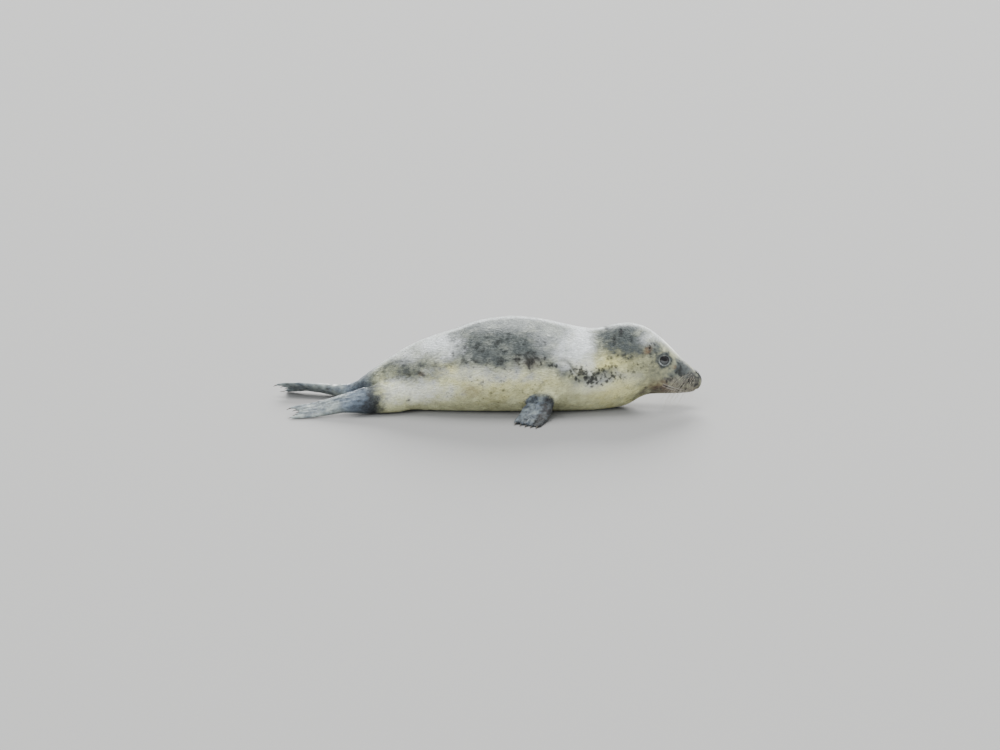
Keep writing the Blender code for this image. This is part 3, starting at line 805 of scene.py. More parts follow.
def sculpt_eye(co, place, eyes):
    """Sets the skin round an eyeball: behind it within the lids, a rim on it, then the head's own curve.

    Gives how far out each vertex is, where 1 is the lids' edge, and how far below the eye's middle.
    """
    centre, radius, out, forward, upward = (np.array(v) for v in place)
    off = co - (centre - out * eyes.sunk)
    height, across, up = off @ out, off @ forward, off @ upward
    distance = np.hypot(across, up)
    near = (height > 0.0) & (distance < 0.036)
    ring = near & (distance > 0.0225)

    def curve(u, v):
        """The terms of a surface of the second degree."""
        return np.stack([np.ones_like(u), u, v, u * u, u * v, v * v], 1)

    fit = np.linalg.lstsq(curve(across[ring], up[ring]), height[ring], rcond=None)[0]
    u, v, r = across[near], up[near], distance[near]
    natural = curve(u, v) @ fit
    turn = u / np.maximum(r, 1e-6)
    tall = v / np.maximum(r, 1e-6)
    gap = eyes.opening * (1 + 0.10 * np.clip(turn, 0, 1) ** 4 + 0.03 * np.clip(-turn, 0, 1) ** 2)
    gap = gap * (1 - 0.19 * np.clip(tall, 0, 1) ** 2)
    share = r / gap
    rim = np.sqrt(np.maximum(radius**2 - gap**2, 0)) + eyes.lid
    bed = np.sqrt(np.maximum(radius**2 - np.minimum(r, gap) ** 2, 0)) - 0.0035
    inner = bed + (rim - bed) * rise(0.90, 1.0, share)
    outer = rim + (natural - rim) * rise(1.04, 1.48, share)
    upper, lower = rise(-0.2, 0.4, tall), rise(0.2, -0.4, tall)
    outer -= 0.0013 * bell(share - 1.36, 0.09) * upper
    outer += 0.0010 * bell(share - 1.66, 0.16) * upper
    outer -= 0.0007 * bell(share - 1.42, 0.10) * lower
    shaped = np.where(share < 1.0, inner, outer)
    blend = rise(2.05, 1.62, share)
    co[near] += ((shaped - height[near]) * blend)[:, None] * out
    lids, below = np.full(len(co), FAR), np.zeros(len(co))
    lids[near], below[near] = share, -tall
    return lids, below


def sculpt_face(co, normal, share, side):
    """Works lips, whisker pads, nose, nostrils and ears into the points, and gives where each one is."""

    def lift(amount):
        """Moves the points outwards."""
        co[:] += normal * amount[:, None]

    off, run = off_line(co, mouth_line())
    lips = rise(0.135, 0.118, share) * rise(-0.001, 0.05, run)
    lift(-bell(off, 0.0016) * 0.0024 * lips)
    lift(bell(off - 0.0042, 0.0024) * 0.0008 * lips)
    pad = bell((share - 0.045) / 0.030, 1) * bell((co[:, 2] / HEIGHT - 0.335) / 0.10, 1)
    lift(pad * 0.0018 * (np.abs(side) > 0.008))
    half_width, middle_height, half_height = NOSE_PAD
    reach = np.hypot(side / half_width, (co[:, 2] / HEIGHT - middle_height) / half_height)
    nose = rise(1.10, 0.90, reach) * rise(0.036, 0.028, share)
    lift(nose * 0.0007)
    groove = bell(side, 0.0012) * rise(0.030, 0.012, share) * rise(0.33, 0.30, co[:, 2] / HEIGHT)
    lift(-groove * 0.0014)
    slit = np.zeros(len(co))
    (low_side, low_height), (high_side, high_height) = NOSTRIL
    for sign in SIDES.values():
        low = np.array((low_side * sign, low_height * HEIGHT))
        run = np.array((high_side * sign, high_height * HEIGHT)) - low
        seen = np.stack([side, co[:, 2]], 1) - low
        t = np.clip(seen @ run / (run @ run), 0, 1)
        away = np.where(share < 0.03, np.linalg.norm(seen - t[:, None] * run, axis=1), FAR)
        slit = np.maximum(slit, bell(away, 0.0017))
        lift(bell(away - 0.0042, 0.0022) * 0.0010)
    lift(-slit * 0.0046)
    ear = np.hypot(co[:, 0] - along(EAR[0]), co[:, 2] - EAR[1] * HEIGHT)
    lift(-bell(ear, 0.0024) * 0.0045)
    lift(bell(ear - 0.0052, 0.0026) * 0.0008)
    return {
        "mouth": bell(off, 0.0013) * lips,
        "lip_off": np.where(lips > 0.2, off, FAR),
        "nose": nose,
        "slit": slit,
        "ear": ear,
    }


def sculpt(skin, pelt, eyes):
    """Smooths the fused skin, lays it inside the flesh by the coat's depth and works in its features.

    Gives what the later steps ask of each vertex, by name.
    """
    mesh = skin.data
    co = points_of(mesh)
    edges = edges_of(mesh)
    tree, owners = flesh_tree()
    found = limb_survey(co, tree, owners)
    for index in np.flatnonzero(found["flipper"] > 0.5):
        co[index] = tree.find_nearest(Vector(co[index]))[0]
    everywhere = np.ones(len(co))
    soft = relaxed(found["flipper"][:, None], edges, everywhere, 6)[:, 0]
    co = relaxed(co, edges, soft, 9, 0.52)
    co = relaxed(co, edges, 1 - soft, 36)
    share = (NOSE - co[:, 0]) / LENGTH
    side = co[:, 1] - MID
    face = rise(0.21, 0.07, share)
    inset = pelt.trunk_depth + (pelt.face_depth - pelt.trunk_depth) * np.maximum(face, soft)
    inset *= 0.15 + 0.85 * rise(0.002, 0.022, co[:, 2])
    set_points(mesh, co)
    normal = points_of(mesh, normals=True)
    co -= normal * inset[:, None]
    trunk = (1 - soft) * (1 - 0.8 * face) * rise(0.002, 0.03, co[:, 2])
    uneven = wander(co, 11, 1) * 0.0016 + wander(co, 28, 2) * 0.0007
    co += normal * (uneven * trunk)[:, None]
    body = (1 - found["flipper"]) * (np.abs(side) > 0.02)
    # painted shade along the neck fold and the shoulder and hip creases, kept for the colour
    crease = np.zeros(len(co))
    # The last number is how strong each fold's painted shade is.
    for line, depth, width, ends, part, shade_strength in (
        (NECK_FOLD, pelt.fold, 0.0042, 0.25, 1.0, 0.72),
        (SHOULDER_CREASE, pelt.fold * 0.7, 0.0034, 0.12, body, 0.45),
        (HIP_CREASE, pelt.fold * 0.8, 0.0060, 0.12, body, 0.25),
    ):
        off, run = off_line(co, line)
        worth = rise(0, ends, run) * rise(1, 1 - ends, run) * (side != 0)
        press = bell(off, width) * worth
        swell = bell(off - 2.4 * width, 1.6 * width) * worth
        co = co + normal * ((swell * 0.35 - press) * depth)[:, None]
        crease = np.maximum(crease, bell(off, 1.5 * width) * worth * part * shade_strength)
    set_points(mesh, co)
    normal = points_of(mesh, normals=True)
    features = sculpt_face(co, normal, share, side)
    digit = rise(0.02, 0.35, found["toward"]) * soft
    relief = np.where(co[:, 0] < 0, 0.0011, 0.0028)
    co += normal * (np.cos(found["ridge"] * math.tau) * relief * digit)[:, None]
    co[:, 2] = np.maximum(co[:, 2], 0.0003)
    lids, below = np.full(len(co), FAR), np.zeros(len(co))
    for place in eye_frames().values():
        full, low = sculpt_eye(co, place, eyes)
        lids, below = np.minimum(lids, full), below + low
    set_points(mesh, co)
    found.update(features, share=share, side=side, soft=soft, face=face, crease=crease)
    found.update(lids=lids, below=below, edges=edges)
    return found


def spread_marks(share, height, side, ragged, drift, lift):
    """The amount of each channel's marks; drift and lift move them, and ragged frays their edges."""
    paints = {name: np.zeros(len(share)) for name in CHANNELS}
    for channel, *sizes in MARKS:
        at, up, half_length, half_height, strength = (size / 100 for size in sizes[:5])
        small = half_length < 0.012
        wide = 0.3 if small else 1.0 if half_length < 0.09 else 1.4
        reach = np.hypot(
            (share + drift * (0.15 if small else 1) - at) / half_length,
            (height + lift * (0.1 if small else 1) - up) / half_height,
        )
        edge = (1.30, 0.60) if small else (1.50, 0.60) if channel == "speck" else (1.65, 0.30)
        amount = strength * rise(*edge, reach + ragged * wide)
        for only in sizes[5:]:
            amount = amount * (np.sign(side) == only)
        paints[channel] = np.maximum(paints[channel], amount)
    return paints


def paint(mesh, found):
    """Works out every marking, painted highlights and shade among them, and stores it on the skin."""
    co = points_of(mesh)
    share, side, height = found["share"], found["side"], co[:, 2] / HEIGHT
    stronger = np.where(side > 0, 2.6, 1.0)
    drift = wander(co, 13, 3) * 0.012 * stronger
    lift = wander(co, 13, 4) * 0.055 * stronger
    ragged = wander(co, 40, 5) * 0.40 + wander(co, 105, 6) * 0.30
    paints = spread_marks(share, height, side, ragged, drift, lift)

    def lay(name, amount):
        """Raises a channel to the amount where it is less."""
        paints[name] = np.maximum(paints[name], amount)

    # the pale back with its mottled grey; its paler top band is pale fur with a painted highlight, and the
    # lighter line along the crest, where the skin faces up, is a painted highlight that thins the grey
    # under it
    soft, toward, ridge, limb = (found[n] for n in ("soft", "toward", "ridge", "limb"))
    lay("cool", 0.85 * rise(0.42, 0.74, height + ragged * 0.12) * rise(0.22, 0.34, share) * (1 - soft))
    lay("cool", 0.6 * rise(0.60, 0.80, height) * rise(0.05, 0.14, share))
    upward = points_of(mesh, normals=True)[:, 2]
    # painted highlight along the crest, paler where the skin faces up
    crest_highlight = bell(side, 0.024) * rise(0.45, 0.8, upward) * (1 - soft) * (1 + 0.5 * ragged)
    back = rise(0.80, 1.0, height) * rise(0.28, 0.40, share)
    lay("grey", 0.52 * back)
    lay("mottle", 0.24 + 0.22 * back)
    # the painted highlight thins the grey and mottle along the crest
    paints["grey"] = paints["grey"] * (1 - 0.6 * crest_highlight)
    paints["mottle"] = paints["mottle"] * (1 - 0.6 * crest_highlight)
    # pale fur and a painted highlight along the top of the back
    lay("pale", 0.32 * rise(0.82, 0.98, height) * rise(0.28, 0.40, share))
    lay("pale", 0.85 * crest_highlight * rise(0.02, 0.09, share))

    # the blue-grey flippers, darker between the digits and along the leading edge, with a painted shadow
    # where the furred wrist overlaps the flipper
    hind = (limb > 0.5) & (co[:, 0] < 0)
    fore = (limb > 0.5) & (co[:, 0] > 0)
    wrist = rise(-0.36, -0.20, toward + ragged * 0.06)
    heel = rise(-0.14, 0.16, toward + ragged * 0.10)
    foot = np.maximum(np.where(fore, wrist, heel) * (limb > 0.5), soft)
    lay("blue", foot * np.where(fore, 0.95, 0.0))
    lay("blue", 0.86 * foot * hind)
    lay("blue", 0.72 * rise(0.890, 0.960, share) * (height < 0.5))
    lay("mottle", foot * np.where(fore, 0.80, 0.44))
    # the flipper's own dark, and a painted shadow band where the furred wrist overlaps the fore flipper
    lay("dark", (0.44 * foot + 0.25 * bell(toward + 0.27, 0.035)) * fore)
    lay("rust", 0.28 * hind * rise(0.4, 0.8, toward) * rise(1.0, 0.75, toward))
    paints["pale"] = paints["pale"] * (1 - 0.8 * foot)
    lay("pale", 0.36 * soft * rise(0.92, 1.04, toward) * hind)
    seam = soft * rise(0.34, 0.5, ridge) * rise(0.1, 0.4, toward)
    lay("dark", seam * np.where(fore, 0.62, 0.26))
    lead = rise(0.05, 0.65, found["lead"] + ragged * 0.30) * fore * foot
    lay("dark", 0.94 * lead)

    # the lids: a dark margin, a pale broken ring of wet fur with painted highlights, brightest along the
    # lower lid, painted shade over the upper lid under the brow, and dark smudges round it
    lids, below = found["lids"], found["below"]
    flecks = wander(co, 300, 7)
    # pale wet fur with painted highlights, strongest and most broken along the lower lid
    ring = bell(lids - 1.37, 0.09) * (0.05 + 0.25 * rise(-0.5, 0.9, below))
    ring = ring * (1 + 2.2 * flecks + 0.9 * ragged)
    eye_front = max(centre.x for centre, *_ in eye_frames().values())
    ring = ring * (1 - 0.6 * rise(-0.006, 0.012, co[:, 0] - eye_front))
    around = rise(2.90, 1.60, lids + ragged * 1.3) * rise(1.36, 1.60, lids)
    for name, end in (("pale", 2.2), ("warm", 2.2), ("mottle", 1.6), ("speck", 1.6)):
        paints[name] = paints[name] * rise(1.3, end, lids)
    lay("pale", ring)
    lay("grey", np.maximum(around * 0.90, rise(2.0, 1.4, lids) * 0.86))
    lay("mottle", around * 0.90)
    lay("speck", around * 0.80)
    lay("dark", around * 0.46 * (1 + 1.8 * ragged))
    lay("dark", rise(1.24, 1.06, lids) * 0.92)
    # painted shade over the upper lid, under the brow
    lay("dark", rise(1.75, 1.45, lids) * rise(0.2, -0.6, below) * 0.42 * (1 + 0.8 * flecks))
    lay("wet", 0.30 * rise(1.6, 1.2, lids))

    # creases, lips, nose and ears; the dark in the folds, the lip seam, the nostril slits and the ear hole
    # is painted shade, and the pale line along the lip's ridge is a painted highlight
    # painted shade along the folds
    lay("dark", found["crease"] * (0.75 + 0.6 * ragged))
    # painted shade in the lip seam
    lay("dark", found["mouth"] * (0.75 + 0.2 * rise(0.08, 0.11, share)))
    lay("dark", found["nose"])
    lay("wet", found["nose"] * 0.55)
    # painted shade in the nostril slits
    lay("dark", np.minimum(found["slit"] * 1.4, 1))
    # painted shade in the ear hole
    lay("dark", bell(found["ear"], 0.0034) * 0.9)
    lay("rust", bell(found["ear"], 0.0080) * 0.8)
    lay("wet", bell(found["lip_off"], 0.004) * 0.5)
    # painted highlight along the ridge of the lips
    lay("pale", bell(found["lip_off"] - 0.0038, 0.0016) * 0.45 * rise(0.02, 0.05, share))
    lay("bare", np.maximum(soft * 0.45, np.maximum(found["nose"], rise(1.9, 1.3, lids))))
    lay("wet", soft * 0.10)
    for name, values in paints.items():
        keep(mesh, name, np.clip(values, 0, 1))


def comb(mesh, found, coat):
    """Stores the lie, length, width and cover of the coat at each vertex."""
    co = points_of(mesh)
    soft, share, face, lids, edges = (found[n] for n in ("soft", "share", "face", "lids", "edges"))
    everywhere = np.ones(len(co))
    away = np.tile((-1.0, 0.0, -0.10), (len(co), 1))
    turned = relaxed(found["limb"][:, None] * found["forward"], edges, everywhere, 8)
    pull = np.minimum(np.linalg.norm(turned, axis=1, keepdims=True), 1)
    lie = away * (1 - pull) + turned
    swirl = np.stack([np.zeros(len(co)), wander(co, 16, 8), wander(co, 16, 9)], 1)
    lie = lie + swirl * 0.34
    for centre, *_ in eye_frames().values():
        off = co - np.array(centre)
        lie += unit(off) * bell(np.linalg.norm(off, axis=1), 0.026)[:, None] * 0.9
    keep(mesh, "lie", unit(lie))
    spread = relaxed(soft[:, None], edges, everywhere, 60)[:, 0]
    short = np.maximum(rise(0.24, 0.06, share), 0.80 * rise(0.0, 0.75, np.maximum(soft, spread * 1.4)))
    length = coat.trunk_length + (coat.face_length - coat.trunk_length) * short
    width = coat.trunk_width + (coat.face_width - coat.trunk_width) * short
    keep(mesh, "tuft_length", length)
    keep(mesh, "tuft_width", width)
    keep(mesh, "foot", soft)
    cover = coat.cover * (1 - 0.15 * face) * (1 - 0.20 * soft)
    clear = rise(1.18, 1.40, lids) * (1 - found["nose"]) * rise(0.002, 0.005, found["lip_off"])
    clear = clear * rise(0.003, 0.006, found["ear"]) * (1 - found["slit"]) * rise(0.0005, 0.004, co[:, 2])
    clear = clear * rise(1.08, 0.95, found["toward"] * soft)
    keep(mesh, "cover", cover * clear / (0.5 * length * width))


class SEAL_OT_skin(bpy.types.Operator):
    """Fuses the flesh into one skin, works in its folds, face and digits, and stores its markings"""

    bl_idname = "seal.skin"
    bl_label = "Skin"

    def execute(self, context):
        scene = context.scene
        skin = fused_flesh(scene.seal_pelt.cell)
        refine(skin)
        found = sculpt(skin, scene.seal_pelt, scene.seal_eyes)
        paint(skin.data, found)
        comb(skin.data, found, scene.seal_coat)
        skin.data.materials.append(pelt_finish("hide", scene.seal_pelt, False))
        smooth(skin.data)
        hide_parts(*FLESH)
        return {"FINISHED"}


# --------------------------------------------------------------- the coat


def tuft_shape(bent):
    """One tuft of unit size along X: a flat three-sided blade. A bent one rises and then lies level."""
    bm = bmesh.new()
    bmesh.ops.create_cone(bm, cap_ends=True, cap_tris=True, segments=3, radius1=0.5, radius2=0, depth=1)
    bmesh.ops.remove_doubles(bm, verts=bm.verts, dist=1e-4)
    turn = Matrix.Rotation(math.radians(90), 4, "Y") @ Matrix.Rotation(math.radians(90), 4, "Z")
    bmesh.ops.transform(bm, matrix=Matrix.Translation((0.5, 0, 0)) @ turn, verts=bm.verts)
    if bent:
        slants = [e for e in bm.edges if abs(e.verts[0].co.x - e.verts[1].co.x) > 0.5]
        bmesh.ops.subdivide_edges(bm, edges=slants, cuts=1)
    for vert in bm.verts:
        x = vert.co.x
        fat = 1.0 if x < 0.25 else 1.9 if x < 0.75 else 0.0
        vert.co.y *= 0.8 * fat if bent else 1.0
        vert.co.z *= 0.45 * fat if bent else 0.45
        vert.co.z += 0.0 if x < 0.25 else 0.72 if x < 0.75 else 1.0
        vert.co.x = 0.42 if 0.25 < x < 0.75 else x
    bmesh.ops.recalc_face_normals(bm, faces=bm.faces)
    return mesh_of("tuft", bm)


def many(name, template, points, finish, paints):
    """A piece of many copies of the template, and the vertex at each of its face corners.

    points: each copy's vertices, already in place
    paints: numbers for each vertex, by name
    """
    count, size = points.shape[:2]
    loops = read(template.loops, "vertex_index", kind=np.int32)
    starts = read(template.polygons, "loop_start", kind=np.int32)
    mesh = bpy.data.meshes.new(name)
    mesh.vertices.add(count * size)
    mesh.loops.add(count * len(loops))
    mesh.polygons.add(count * len(starts))
    mesh.vertices.foreach_set("co", points.astype(np.float32).ravel())
    steps = np.arange(count, dtype=np.int32)[:, None]
    corners = (loops + steps * size).ravel()
    mesh.loops.foreach_set("vertex_index", corners)
    mesh.polygons.foreach_set("loop_start", (starts + steps * len(loops)).ravel())
    mesh.update(calc_edges=True)
    mesh.validate()
    for label, values in paints.items():
        keep(mesh, label, values)
    return dress(name, mesh, finish), corners


def sown(mesh, dice, thin):
    """Tuft roots spread over the skin by its cover: each one's three vertices and its weights on them."""
    mesh.calc_loop_triangles()
    corners = read(mesh.loop_triangles, "vertices", 3, np.int32)
    co = points_of(mesh)
    a, b, c = (co[corners[:, k]] for k in range(3))
    area = np.linalg.norm(np.cross(b - a, c - a), axis=1) / 2
    total = np.cumsum(area * kept(mesh, "cover")[corners].mean(1) * thin)
    number = int(total[-1])
    picks = (np.arange(number) + dice.random(number)) / number * total[-1]
    faces = np.minimum(np.searchsorted(total, picks), len(corners) - 1)
    p, q = dice.random(number), dice.random(number)
    fold = p + q > 1
    p, q = np.where(fold, 1 - p, p), np.where(fold, 1 - q, q)
    return corners[faces], np.stack([1 - p - q, p, q], 1)


def grown(skin, dice, thin):
    """The coat's tufts, as named arrays: root, directions, sizes, shade and the markings at their roots."""
    corners, weights = sown(skin, dice, thin)

    def at_roots(values):
        return (values[corners] * (weights[..., None] if values.ndim == 2 else weights)).sum(1)

    root = at_roots(points_of(skin))
    normal = unit(at_roots(points_of(skin, normals=True)))
    number = len(root)
    lie = at_roots(kept(skin, "lie", True)) + dice.normal(0, 0.13, (number, 3))
    lie = unit(lie - normal * (lie * normal).sum(1, keepdims=True))
    foot = at_roots(kept(skin, "foot"))
    length = at_roots(kept(skin, "tuft_length")) * dice.uniform(0.7, 1.25, number)
    width = at_roots(kept(skin, "tuft_width")) * dice.uniform(0.75, 1.3, number)
    stand = length * dice.uniform(0.09, 0.17, number) * (1 - 0.15 * foot)
    tufts = {"root": root, "normal": normal, "lie": lie, "across": np.cross(normal, lie), "foot": foot}
    tufts.update(length=length, width=width, stand=stand, shade=dice.uniform(-1, 1, number))
    tufts.update({name: at_roots(kept(skin, name)) for name in CHANNELS})
    return tufts


def groups_of(tufts):
    """The side of the body or the flipper that each tuft belongs to."""
    root = tufts["root"]
    groups = np.where(root[:, 1] > MID, "body_left", "body_right")
    for kind in LIMBS:
        for side in SIDES:
            low, high = (np.array(corner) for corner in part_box(f"{kind}_flipper_{side}"))
            inside = np.all((root > low - 0.004) & (root < high + 0.004), axis=1)
            groups[inside & (tufts["foot"] > 0.5)] = f"{kind}_{side}"
    return groups


def unwrap(root, normal, group):
    """A place from 0 to 1 for each root: by length and girth on the body, by length and face on a limb."""
    limbs = limb_frames()
    if group in limbs:
        _, ahead, digits, _ = limbs[group]
        across = unit(digits[0][1] - digits[4][1])
        above = (normal @ unit(np.cross(ahead, across))) > 0
        u, v = root @ ahead, root @ across
        v = (v - v.min()) / max(np.ptp(v), 1e-6) * 0.48 + np.where(above, 0.0, 0.51)
    else:
        u = root[:, 0]
        bins = np.linspace(u.min(), u.max(), 12)
        hub = [root[np.abs(u - x) <= max(np.ptp(u) / 9, 0.01)][:, 2] for x in bins]
        level = np.interp(u, bins, [(h.min() + h.max()) / 2 if len(h) else 0.1 for h in hub])
        v = np.arctan2(root[:, 2] - level, np.abs(root[:, 1] - MID))
        v = (v - v.min()) / max(np.ptp(v), 1e-6)
    u = (u - u.min()) / max(np.ptp(u), 1e-6)
    return np.stack([u, v], 1) * 0.99 + BAKE_PATCH


def sow(name, template, tufts, group, finish):
    """Makes one coat piece of the tufts, with its bake map."""
    shape = points_of(template)
    root, normal, length, width = (tufts[n] for n in ("root", "normal", "length", "width"))
    reach = (shape[:, 0] * length[:, None])[..., None] * tufts["lie"][:, None]
    breadth = (shape[:, 1] * width[:, None])[..., None] * tufts["across"][:, None]
    height = shape[:, 2] * tufts["stand"][:, None] - ROOT_DEPTH
    points = root[:, None] + reach + breadth + height[..., None] * normal[:, None]
    points[..., 2] = np.maximum(points[..., 2], 0.0002)
    carried = {label: np.repeat(tufts[label], len(shape)) for label in CHANNELS}
    carried["tip"] = np.tile(shape[:, 0], len(root))
    carried["shade"] = np.repeat(tufts["shade"], len(shape))
    piece, corners = many(name, template, points, finish, carried)
    spot = unwrap(root, normal, tuple(group.split("_")))
    patch = np.stack([shape[:, 0], shape[:, 1] + 0.5], 1) * BAKE_PATCH
    places = (spot[:, None] + patch).reshape(-1, 2)[corners]
    layer = piece.data.uv_layers.new(name="OFBake")
    layer.data.foreach_set("uv", np.clip(places, 0, 1).astype(np.float32).ravel())


class SEAL_OT_coat(bpy.types.Operator):
    """Covers the skin with thin overlapping tufts that lie along the body, smallest on the face and feet"""

    bl_idname = "seal.coat"
    bl_label = "Coat"

    def execute(self, context):
        finish = pelt_finish("coat", context.scene.seal_pelt, True)
        dice = np.random.default_rng(SEED)
        tufts = grown(context.scene.objects["skin"].data, dice, 1.0)
        groups = groups_of(tufts)
        for style in ("long", "short"):
            bent = style == "long"
            template = tuft_shape(bent)
            most = int(MOST_TRIANGLES / sum(len(p.vertices) - 2 for p in template.polygons))
            for group in sorted(set(groups)):
                mine = np.flatnonzero((groups == group) & ((tufts["length"] > BENT_FROM) == bent))
                if len(mine) < (FEWEST_TUFTS if group.startswith("body") else 1):
                    continue
                mine = mine[np.argsort(-tufts["root"][mine, 0])]
                runs = np.array_split(mine, math.ceil(len(mine) / most))
                for index, run in enumerate(runs, 1):
                    picked = {label: values[run] for label, values in tufts.items()}
                    sow(f"coat_{group}_{style}_{index}", template, picked, group, finish)
        return {"FINISHED"}


# ------------------------------------------------- eyes, claws, whiskers


def eye_finish(eyes):
    """A dark glossy eye with a brown rim to its iris; its greyer lower part with faint light streaks is a
    painted reflection of the sky and floor.
    """
    finish = Finish("eye")
    across, up = finish.attribute("eye_across"), finish.attribute("eye_up")
    streaks = finish.noise(finish.place((1, 1, 2.5)), 210, 3, 0.6, 0.6)
    wide, tall = across / 0.66, (up - 0.17) / 0.42
    reach = (wide * wide + tall * tall) ** 0.5 + streaks * 0.06
    rim = finish.mix(((reach - 0.95) * 2.6).clamped(), eyes.iris, eyes.brown)
    # painted reflection: the eye's lower part greyer, with faint light streaks
    painted_reflection = finish.mix(((streaks - 0.25) * 1.8).clamped(), eyes.cloud, (0.155, 0.16, 0.16))
    low = ((0.02 - up) * 3.2 + streaks * 0.12).clamped() * ((reach - 0.9) * 3.0).clamped()
    return finish.surface(
        Base_Color=finish.mix(low, rim, painted_reflection),
        Roughness=0.20,
        Specular_IOR_Level=0.08,
        Coat_Weight=0.42,
        Coat_Roughness=0.06,
    )


class SEAL_OT_eyes(bpy.types.Operator):
    """Makes the two eyeballs with a slightly bulged cornea"""

    bl_idname = "seal.eyes"
    bl_label = "Eyes"

    def execute(self, context):
        eyes = context.scene.seal_eyes
        finish = eye_finish(eyes)
        for side, (centre, radius, out, forward, upward) in eye_frames().items():
            centre = centre - out * eyes.sunk
            bm = bmesh.new()
            turn = out.to_track_quat("Z", "Y").to_matrix().to_4x4()
            place = Matrix.Translation(centre) @ turn
            bmesh.ops.create_uvsphere(bm, u_segments=64, v_segments=40, radius=radius, matrix=place)
            for vert in bm.verts:
                off = vert.co - centre
                tilt = off.angle(out)
                vert.co += out * (0.0007 * math.exp(-((tilt / 0.45) ** 2)))
            name = f"eyeball_{side}"
            piece = dress(name, mesh_of(name, bm), finish)
            off = points_of(piece.data) - np.array(centre)
            keep(piece.data, "eye_across", off @ np.array(forward) / radius)
            keep(piece.data, "eye_up", off @ np.array(upward) / radius)
            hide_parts(f"eye_{side}")
        return {"FINISHED"}


def claw_finish(claws):
    """Horn with fine lengthwise growth lines, dark at the root and paler towards the worn tip."""
    finish = Finish("claw")
    worn = finish.attribute("worn")
    lines = finish.noise(finish.place(), 520, 3, 0.6)
    cloud = finish.noise(finish.place(), 120, 2)
    base = finish.mix((worn * 0.8 - 0.15 + cloud * 0.12).clamped(), claws.horn, claws.tip)
    base = finish.mix((lines * 0.25 + 0.15).clamped(), base, (0.03, 0.026, 0.022))
    bump = finish.node("Bump", sockets={"Strength": 0.3, "Distance": 0.0003, "Height": lines})
    return finish.surface(Base_Color=base, Roughness=0.36 + cloud * 0.05, Normal=bump, Coat_Weight=0.15)


def claws_mesh(name, nodes, ahead, root):
    """The claws of one flipper, drawn back into their toes; worn is how near the tip a vertex is."""
    bm = bmesh.new()
    worn = bm.verts.layers.float.new("worn")
    for node in nodes:
        old = set(bm.verts)
        bm.from_mesh(NODES[node].data)
        verts = [v for v in bm.verts if v not in old]
        doubles = bmesh.ops.find_doubles(bm, verts=verts, dist=1e-5)["targetmap"]
        verts = [v for v in verts if v not in doubles]
        reach = [v.co.dot(ahead) for v in verts]
        low, high = min(reach), max(reach)
        for vert, far in zip(verts, reach):
            vert[worn] = (far - low) / (high - low)
    # Most of the vertices that are left by this merge have a worn of 0, so they move like the root's.
    bmesh.ops.remove_doubles(bm, verts=bm.verts, dist=1e-5)
    for vert in bm.verts:
        back = max(0.0, 1 - vert[worn] / 0.35)
        vert.co -= ahead * root * back
        vert.co.z = max(vert.co.z, 0.0006)
    limits = {"angle_face_threshold": 0.7, "angle_shape_threshold": 0.7}
    bmesh.ops.join_triangles(bm, faces=bm.faces, **limits)
    bmesh.ops.recalc_face_normals(bm, faces=bm.faces)
    return mesh_of(name, bm)


class SEAL_OT_claws(bpy.types.Operator):
    """Rounds the claws of each flipper and roots them in their toes"""

    bl_idname = "seal.claws"
    bl_label = "Claws"

    def execute(self, context):
        claws = context.scene.seal_claws
        finish = claw_finish(claws)
        for (kind, side), (_, ahead, _, _) in limb_frames().items():
            name = f"claws_{kind}_{side}"
            nodes = [f"{kind}_claw_{side}_{toe}" for toe in TOES]
            piece = dress(name, claws_mesh(name, nodes, Vector(ahead), claws.root), finish)
            fine = piece.modifiers.new("fine", "SUBSURF")
            fine.levels = fine.render_levels = 2
            apply_modifiers(piece)
            smooth(piece.data)
            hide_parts(*nodes)
        return {"FINISHED"}


def whisker_shape():
    """A thin five-sided hair of unit length along X, cut into even lengths and tapered to a fine tip."""
    bm = bmesh.new()
    bmesh.ops.create_cone(bm, cap_ends=True, segments=5, radius1=1, radius2=0.25, depth=1)
    turn = Matrix.Translation((0.5, 0, 0)) @ Matrix.Rotation(math.radians(90), 4, "Y")
    bmesh.ops.transform(bm, matrix=turn, verts=bm.verts)
    long = [e for e in bm.edges if abs(e.verts[0].co.x - e.verts[1].co.x) > 0.5]
    bmesh.ops.subdivide_edges(bm, edges=long, cuts=9)
    bmesh.ops.recalc_face_normals(bm, faces=bm.faces)
    return mesh_of("whisker", bm)


def whisker_places(dice):
    """Each whisker's side, shares of the length and height, part of the longest, and if it is a brow's."""
    places = []
    for sign in SIDES.values():
        for row in range(6):
            for column in range(8):
                share = 0.0195 + 0.0082 * column + 0.0012 * row + dice.normal(0, 0.0005)
                height = 0.395 - 0.031 * row - 0.0042 * column + dice.normal(0, 0.003)
                far = 0.45 + 0.55 * min(1.0, 0.12 * column + 0.10 * row)
                places.append((sign, share, height, far * dice.uniform(0.75, 1.05), False))
        for index in range(5):
            places.append((sign, 0.098 + 0.008 * index, 0.735 + 0.006 * index, 0.42, True))
    return places


def whisker_points(shape, hit, normal, length, thick, brow, dice):
    """The vertices of a whisker that leaves the skin at hit and sags backwards."""
    way = Vector((-0.55, 0, 0.25)) if brow else Vector((-0.52, 0, -0.42))
    aim = (normal * (0.75 if brow else 0.80) + way + Vector(dice.normal(0, 0.10, 3))).normalized()
    sag = Vector((-0.35, 0, 0.05 if brow else -0.45)) * length * 0.55
    t = shape[:, 0]
    spine = np.array(hit - normal * 0.0015) + np.outer(t, aim) * length + np.outer(t * t, sag)
    across = aim.cross(Vector((0, 0, 1))).normalized()
    thick = thick * (0.6 if brow else 1.0) * (1 - 0.62 * t)
    body = np.outer(shape[:, 1] * thick, across) + np.outer(shape[:, 2] * thick, aim.cross(across))
    hair = spine + body
    hair[:, 2] = np.maximum(hair[:, 2], 0.004)
    return hair


